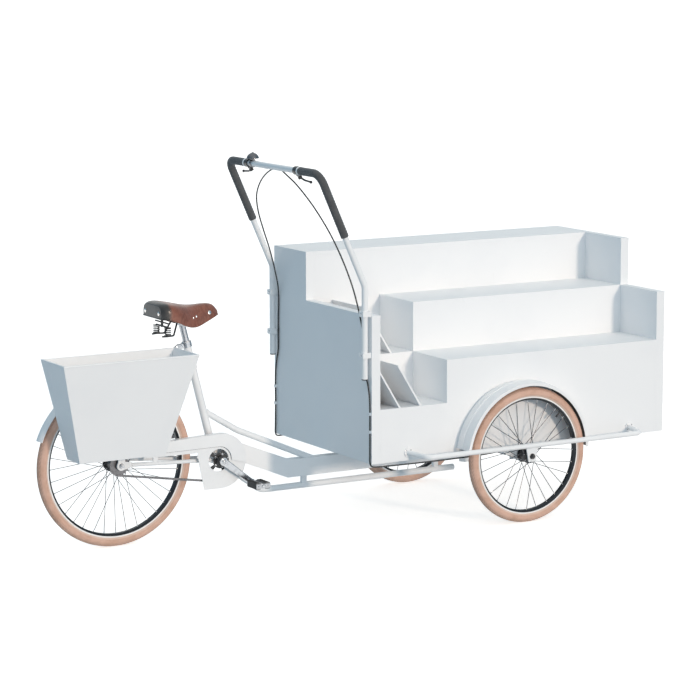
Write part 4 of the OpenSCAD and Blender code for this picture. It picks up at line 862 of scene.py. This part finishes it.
def tread(name, body, hub, radius):
    """Slanted lugs on both sides of a middle rib, in step with the rubber's own pattern."""
    form = Form()
    count, slant, half, tube = 120, 900, 0.017, 21
    # Turn and height of a lug's corners
    lug = ((-half, -0.6), (-half * 0.8, 0.7), (half * 0.8, 0.7), (half, -0.6))
    for k in range(count):
        for side in (-1, 1):
            rows = []
            for y in (2.4, 5.4, 8.4, 11.4):
                a = (math.pi / 2 + 2 * math.pi * k - slant * y * MM) / count
                r = radius - tube + math.sqrt(tube ** 2 - y ** 2)
                rows.append([hub + polar(r + high, a + d, side * y) * MM for d, high in lug])
            form.grid(rows, closed=True, caps=True)
    form.ring(hub, (0, 1, 0), (radius - 0.3) * MM, 1.0 * MM)
    for side in (-1, 1):
        for r, y in ((radius - 16, 20.2), (radius - 26, 20.2)):
            form.ring(hub + Vector((0, side * y * MM, 0)), (0, 1, 0), r * MM, 0.9 * MM)
    form.make(name + "_tread", nodes[name + "_tyre"].data.materials[0], body, "tan_tyre")


def chain_links():
    """Outer link plates and pin heads all round the chain's loop."""
    ring_r, cog_r, y, pitch = 84.97, 40.59, -48, 12.7
    span = math.hypot(HUB_BACK, HUB_RISE)
    tilt, turn = math.asin((ring_r - cog_r) / span), math.atan2(HUB_RISE, -HUB_BACK)
    up, low = turn - math.pi / 2 + tilt, turn + math.pi / 2 - tilt
    run = span * math.cos(tilt)
    cog = Vector((-HUB_BACK, 0, HUB_RISE))
    lengths = [run, cog_r * (low - up), run, ring_r * (2 * math.pi - low + up)]

    def along(d):
        if d < lengths[0]:
            return polar(ring_r, up).lerp(cog + polar(cog_r, up), d / run)
        d -= lengths[0]
        if d < lengths[1]:
            return cog + polar(cog_r, up + d / cog_r)
        d -= lengths[1]
        if d < lengths[2]:
            return (cog + polar(cog_r, low)).lerp(polar(ring_r, low), d / run)
        return polar(ring_r, low + (d - lengths[2]) / ring_r)

    total = sum(lengths)
    count = 2 * round(total / pitch / 2)
    form = Form()
    for k in range(0, count, 2):
        a, b = (BRACKET + (along(total * n / count) + Vector((0, y, 0))) * MM for n in (k, k + 1))
        ahead = (b - a).normalized()
        across = ahead.cross(Vector((0, 1, 0)))
        half = (b - a).length / MM / 2
        outline = [(half + 4.4 * math.cos(t), 4.4 * math.sin(t)) for t in
                   (math.radians(v) for v in (-120, -80, -40, 0, 40, 80, 120))]
        outline = outline + [(0, 2.9)] + [(-p, -q) for p, q in outline] + [(0, -2.9)]
        outline = [(p * MM, q * MM) for p, q in outline]
        for side in (-1, 1):
            out = Vector((0, side, 0))
            form.shape(outline, (a + b) / 2 + out * 2.7 * MM, ahead, across, out, 0.9 * MM)
            for p in (a, b):
                turned(form, p + out * 3.4 * MM, out, ((0, 2.1), (0.6, 1.9), (0.9, 0.8)), 8)
    form.make("chain_links", CHAIN, "rear_frame", "steel")


def drive_details():
    form = Form()
    for k in range(5):
        point = BRACKET + polar(27, math.radians(72 * k + 0.5), -49.1) * MM
        turned(form, point, (0, -1, 0), ((-0.3, 4.6), (1.4, 4.6), (2.0, 3.9), (2.0, 2.4), (1.0, 2.2)), 16)
    for y, side in ((-83, -1), (69, 1)):
        bolt_head(form, BRACKET + Vector((0, y, 0)) * MM, (0, side, 0), 6, 4)
    form.make("crank_bolts", STEEL, "crankset", "steel")
    for name, y, side in PEDAL_SIDES:
        centre = Vector((middle("pedal_" + name).x, y * MM, middle("pedal_" + name).z))
        ribs, bolts = Form(), Form()
        for k in range(11):
            out = side * (19.5 + 6.9 * k) * MM
            for x0, x1 in ((-30.4, -11.6), (11.6, 30.4)):
                for z in (-12, 12):
                    path = [centre + Vector((x * MM, out, z * MM)) for x in (x0, x0 + 0.6, x1 - 0.6, x1)]
                    ribs.tube(path, lambda i, t: (1.5 if i in (1, 2) else 0.9) * MM, 8)
        ribs.make(name + "_pedal_ribs", RUBBER, name + "_pedal", "pedal_rubber")
        for x in (-21, 21):
            bolt_head(bolts, centre + Vector((x * MM, side * 96 * MM, 0)), (0, side, 0), 3.2, 3)
        cap = ((-1, 7.6), (1.6, 7.6), (3.2, 6.4), (4.0, 3.6), (4.2, 0.6))
        turned(bolts, centre + Vector((0, side * 96 * MM, 0)), (0, side, 0), cap, 20)
        bolts.make(name + "_pedal_bolts", STEEL, name + "_pedal", "steel")


def frame_details():
    welds = Form()
    for start, end, gap, radius in (
            (BRACKET + SEAT_DIR * 206 * MM, at(-1091, 0, 410), 17.5, 13.4),
            (BRACKET, at(-985, 0, 154), 23.5, 13.4),
            (BRACKET + Vector((0, -24 * MM, 0)), REAR_HUB + Vector((44, -62, 0)) * MM, 23, 8.4),
            (BRACKET + Vector((0, 24 * MM, 0)), REAR_HUB + Vector((44, 62, 0)) * MM, 23, 8.4)):
        along = (end - start).normalized()
        welds.ring(start + along * gap * MM, along, radius * MM, 1.9 * MM, 21)
    for y in (-34.6, 34.6):
        welds.ring(BRACKET + Vector((0, y * MM, 0)), (0, 1, 0), 20.4 * MM, 1.5 * MM)
    welds.make("weld_beads", COAT, "rear_frame", "white_metal")

    edges = Form()
    turns = [math.radians(160 - 1.8 * i) for i in range(61)]
    rivet_turn = math.radians(118)
    for side in (-1, 1):
        edges.tube([REAR_HUB + polar(339.5, a, side * 25) * MM for a in turns], 2.1 * MM, 8)
    for side in (-1, 1):
        turned(edges, REAR_HUB + polar(345, rivet_turn, side * 21) * MM, polar(1, rivet_turn),
               ((-1, 4.2), (1.2, 4.2), (2.4, 2.8), (2.6, 0.5)), 14)
    edges.make("rear_guard_edges", COAT, "rear_frame", "white_metal")

    rim = Form()
    front, rear, near, far, start = -1409.5, -1974.5, -282.5, -81.5, -1692
    loop = ((start, far), (front, far), (front, near), (rear, near), (rear, far), (start, far))
    rim.tube(evenly(bent([at(x, y, 778.4) for x, y in loop], 5 * MM, 6), 12 * MM), 4.6 * MM, 12)
    rim.make("pannier_rim", BOARD, "rear_frame", "white_board")

    # A grey tube along the chain guard's step: painted shade standing in for the step's shadow line.
    seam = Form()
    line = [Vector((x, -57.6, z)) for x, z in ((-343.5, 57.2), (-12, 59.2))]
    arc = [math.radians(90 - 4.5 * i) for i in range(1, 21)]
    line += [Vector((-12, 0, 4)) + polar(55.2, a, -57.6) for a in arc]
    seam.tube(evenly([BRACKET + p * MM for p in line], 6 * MM), 1.1 * MM, 8)
    seam.make("guard_step_shadow", STEP_SHADOW, "rear_frame", "white_metal")

    nut = Form()
    ahead = polar(1, SEAT_LEAN - math.pi / 2)
    hub = SEAT_TOP - SEAT_DIR * 13 * MM - ahead * 28 * MM
    bolt_head(nut, hub + Vector((0, 9 * MM, 0)), (0, 1, 0), 5.5, 5)
    nut.make("clamp_nut", CHROME, "rear_frame", "chrome")


def cart_details():
    bolts = Form()
    for side in (-1, 1):
        for x in (-528, 563):
            for angle in (40, 140, 220, 320):
                point = at(x, 0, 329) + polar(14.6, math.radians(angle), side * 399) * MM
                bolt_head(bolts, point, (0, side, 0), 2.2, 2.4)
        for z in (735, 900):
            turned(bolts, at(-735, side * HOOP_HALF_W, z), (-1, 0, 0),
                   ((-0.5, 4.4), (0.8, 4.4), (2.0, 3.0), (2.3, 0.6)))
        for y, z in ((-389, 428), (-388.5, 500)) if side < 0 else ((380, 428), (380, 500)):
            turned(bolts, at(-707.5, y, z), (-1, 0, 0),
                   ((-0.5, 2.4), (0.5, 2.4), (1.2, 1.5), (1.4, 0.4)), 12)
    bolts.make("cart_bolts", STEEL, "cart", "steel")

    caps = Form()
    for y in (-386, 386):
        for z in range(330, 870 if y < 0 else 1070, 105):
            turned(caps, at(738, y, z), (1, 0, 0), ((-0.5, 5), (0.6, 5), (1.0, 3.6), (1.1, 0.4)), 18)
    caps.make("screw_caps", BOARD, "cart", "white_board")

    plugs = Form()
    for side in (-1, 1):
        turned(plugs, at(LEG_X, side * HOOP_HALF_W, LEG_FOOT), (0, 0, -1),
               ((-8, 9.6), (-0.2, 9.6), (0, 12.6), (2.2, 12.6), (4.2, 11.4), (5.2, 8), (5.4, 1)), 24)
    plugs.make("leg_plugs", SHEATH, "cart", "cable_sheath")

    bell_y, clamp_r, foot_z, steps = 165, 15.5, 4, 14
    seat = at(BAR_X, bell_y, HOOP_TOP + clamp_r)
    bell = Form()
    turned(bell, at(BAR_X, bell_y, HOOP_TOP), (0, 1, 0),
           ((-7, 12.6), (-7, 15), (-6.5, clamp_r), (6.5, clamp_r), (7, 15), (7, 12.6)), 32)
    turned(bell, seat, (0, 0, 1), ((-4, 6), (1, 6), (1, 11), (3.4, 11), (4, 10.4), (4, 6), (26.8, 6)), 24)
    skins = []
    for r in (24, 26):
        foot = math.asin(foot_z / r)
        arc = [foot + (math.pi / 2 - foot) * i / steps for i in range(steps + 1)]
        skins.append([(2 + r * math.sin(t), r * math.cos(t)) for t in arc])
    turned(bell, seat, (0, 0, 1), skins[0][::-1] + skins[1], 40)
    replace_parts(bell.make("bell_dome", BELL, "cart", "chrome"), "bell")
    trim = Form()
    trim.ring(seat + Vector((0, 0, 6.4 * MM)), (0, 0, 1), 24.9 * MM, 0.9 * MM)
    turned(trim, seat + Vector((0, 0, 28 * MM)), (0, 0, 1),
           ((-1, 4.6), (1.2, 4.6), (2.3, 3.4), (2.7, 0.6)), 18)
    trim.make("bell_trim", BELL, "cart", "chrome")


for side, hub in (("right", at(0, -HALF_TRACK, FRONT_R)), ("left", at(0, HALF_TRACK, FRONT_R))):
    wheel_details(side, side + "_wheel", hub, *FRONT_SPOKES)
    front_hub(side, hub)
    tread(side, side + "_wheel", hub, FRONT_R)
wheel_details("rear", "rear_wheel", REAR_HUB, *REAR_SPOKES)
tread("rear", "rear_wheel", REAR_HUB, REAR_R)
front_axles()
front_guards()
chain_links()
drive_details()
frame_details()
cart_details()

# Floor, light and camera
CAMERA_TARGET = Vector((0.0563, 0, 0.6928))
CAMERA_AZIMUTH, CAMERA_ELEVATION = math.radians(-30.596), math.radians(9.028)
CAMERA_DISTANCE = 11.2352
CAMERA_LENS, CAMERA_SENSOR, CAMERA_END = 141.06, 36, 200
SKY_LOW, SKY_LEVEL, SKY_TOP = (0.42, 0.41, 0.38, 1), (0.06, 0.22, 0.36, 1), (0.78, 0.83, 0.84, 1)
FLOOR_REACH, WALL_BEND = 30, 30
FLAG_W, FLAG_H, FLAG_T = 195 * MM, 305 * MM, 2 * MM
# Name, azimuth, elevation and spread in degrees, strength and colour of each lamp
LAMPS = (("key", 9, 12, 6, 1.36, (1.0, 0.82, 0.67)), ("fill", 0, 12, 80, 0.52, (1.0, 0.92, 0.84)),
         ("back", 150, 4, 60, 0.58, (1.0, 0.84, 0.68)))


def towards(azimuth, elevation):
    """The direction from the object to something at an azimuth and elevation."""
    return Vector((math.sin(azimuth) * math.cos(elevation), -math.cos(azimuth) * math.cos(elevation),
                   math.sin(elevation)))


def stage():
    """A pale floor that runs into a far wall, and a flag, unseen, that shades the beam behind the box."""
    floor = Form()
    floor.lathe(Vector((0, 0, 0)), (0, 0, 1), [(0, 0.0001), (0, 5), (0, 15), (0, FLOOR_REACH)], 96)
    wall = Form()
    turns = [math.pi / 2 * i / 12 for i in range(13)]
    bowl = [(WALL_BEND * (1 - math.cos(a)), FLOOR_REACH + WALL_BEND * math.sin(a)) for a in turns]
    wall.lathe(Vector((0, 0, 0)), (0, 0, 1), bowl + [(90, 60), (120, 40), (130, 0.1)], 96)
    for form in (floor, wall):
        form.faces = form.faces[:-2]
    flag = Form()
    flag.shape([(0, 0), (FLAG_W, 0), (FLAG_W, FLAG_H), (0, FLAG_H)], at(-889, -420, 215),
               Vector((1, 0, 0)), Vector((0, 0, 1)), Vector((0, -1, 0)), FLAG_T)
    for name, form, glow in (("floor", floor, 0.58), ("backdrop", wall, 1.0), ("flag", flag, 0.0)):
        s = Shader(name + "_paper", Roughness=0.9, Specular_IOR_Level=0.1)
        grain = s.noise(3, 2)
        s.feed(Base_Color=s.mix(grain, (0.93, 0.93, 0.93, 1), (0.95, 0.95, 0.95, 1)))
        s.surface.inputs["Emission Color"].default_value = (1.0, 0.955, 0.915, 1)
        s.surface.inputs["Emission Strength"].default_value = glow
        piece = form.mesh(name, s.material)
        piece.visible_diffuse = False
        if form is not floor:
            piece.visible_glossy = piece.visible_transmission = False
            piece.visible_shadow, piece.visible_camera = form is flag, form is wall


def lights():
    world = bpy.data.worlds.new("studio")
    bpy.context.scene.world = world
    world.use_nodes = True
    tree = world.node_tree
    back = tree.nodes["Background"]
    place = tree.nodes.new("ShaderNodeTexCoord")
    split = tree.nodes.new("ShaderNodeSeparateXYZ")
    ramp = tree.nodes.new("ShaderNodeValToRGB")
    lift = tree.nodes.new("ShaderNodeMath")
    lift.operation = "MULTIPLY_ADD"
    lift.inputs[1].default_value = 0.5
    lift.inputs[2].default_value = 0.5
    tree.links.new(place.outputs["Generated"], split.inputs[0])
    tree.links.new(split.outputs["Z"], lift.inputs[0])
    tree.links.new(lift.outputs[0], ramp.inputs[0])
    tree.links.new(ramp.outputs[0], back.inputs["Color"])
    stops = ramp.color_ramp.elements
    stops[0].color, stops[1].color = SKY_LOW, SKY_TOP
    stops.new(0.5).color = SKY_LEVEL
    for name, azimuth, elevation, spread, strength, colour in LAMPS:
        sun = bpy.data.lights.new(name, "SUN")
        sun.energy = strength
        sun.color = colour
        sun.angle = math.radians(spread)
        lamp = bpy.data.objects.new(name, sun)
        bpy.context.scene.collection.objects.link(lamp)
        from_sun = -towards(math.radians(azimuth), math.radians(elevation))
        lamp.rotation_euler = from_sun.to_track_quat("-Z", "Y").to_euler()


def camera():
    lens = bpy.data.cameras.new("camera")
    lens.lens = CAMERA_LENS
    lens.sensor_width = CAMERA_SENSOR
    lens.clip_end = CAMERA_END
    eye = bpy.data.objects.new("camera", lens)
    bpy.context.scene.collection.objects.link(eye)
    back = towards(CAMERA_AZIMUTH, CAMERA_ELEVATION)
    eye.location = CAMERA_TARGET + back * CAMERA_DISTANCE
    eye.rotation_euler = (-back).to_track_quat("-Z", "Y").to_euler()
    bpy.context.scene.camera = eye


stage()
lights()
camera()
bpy.context.scene.view_settings.view_transform = "Standard"
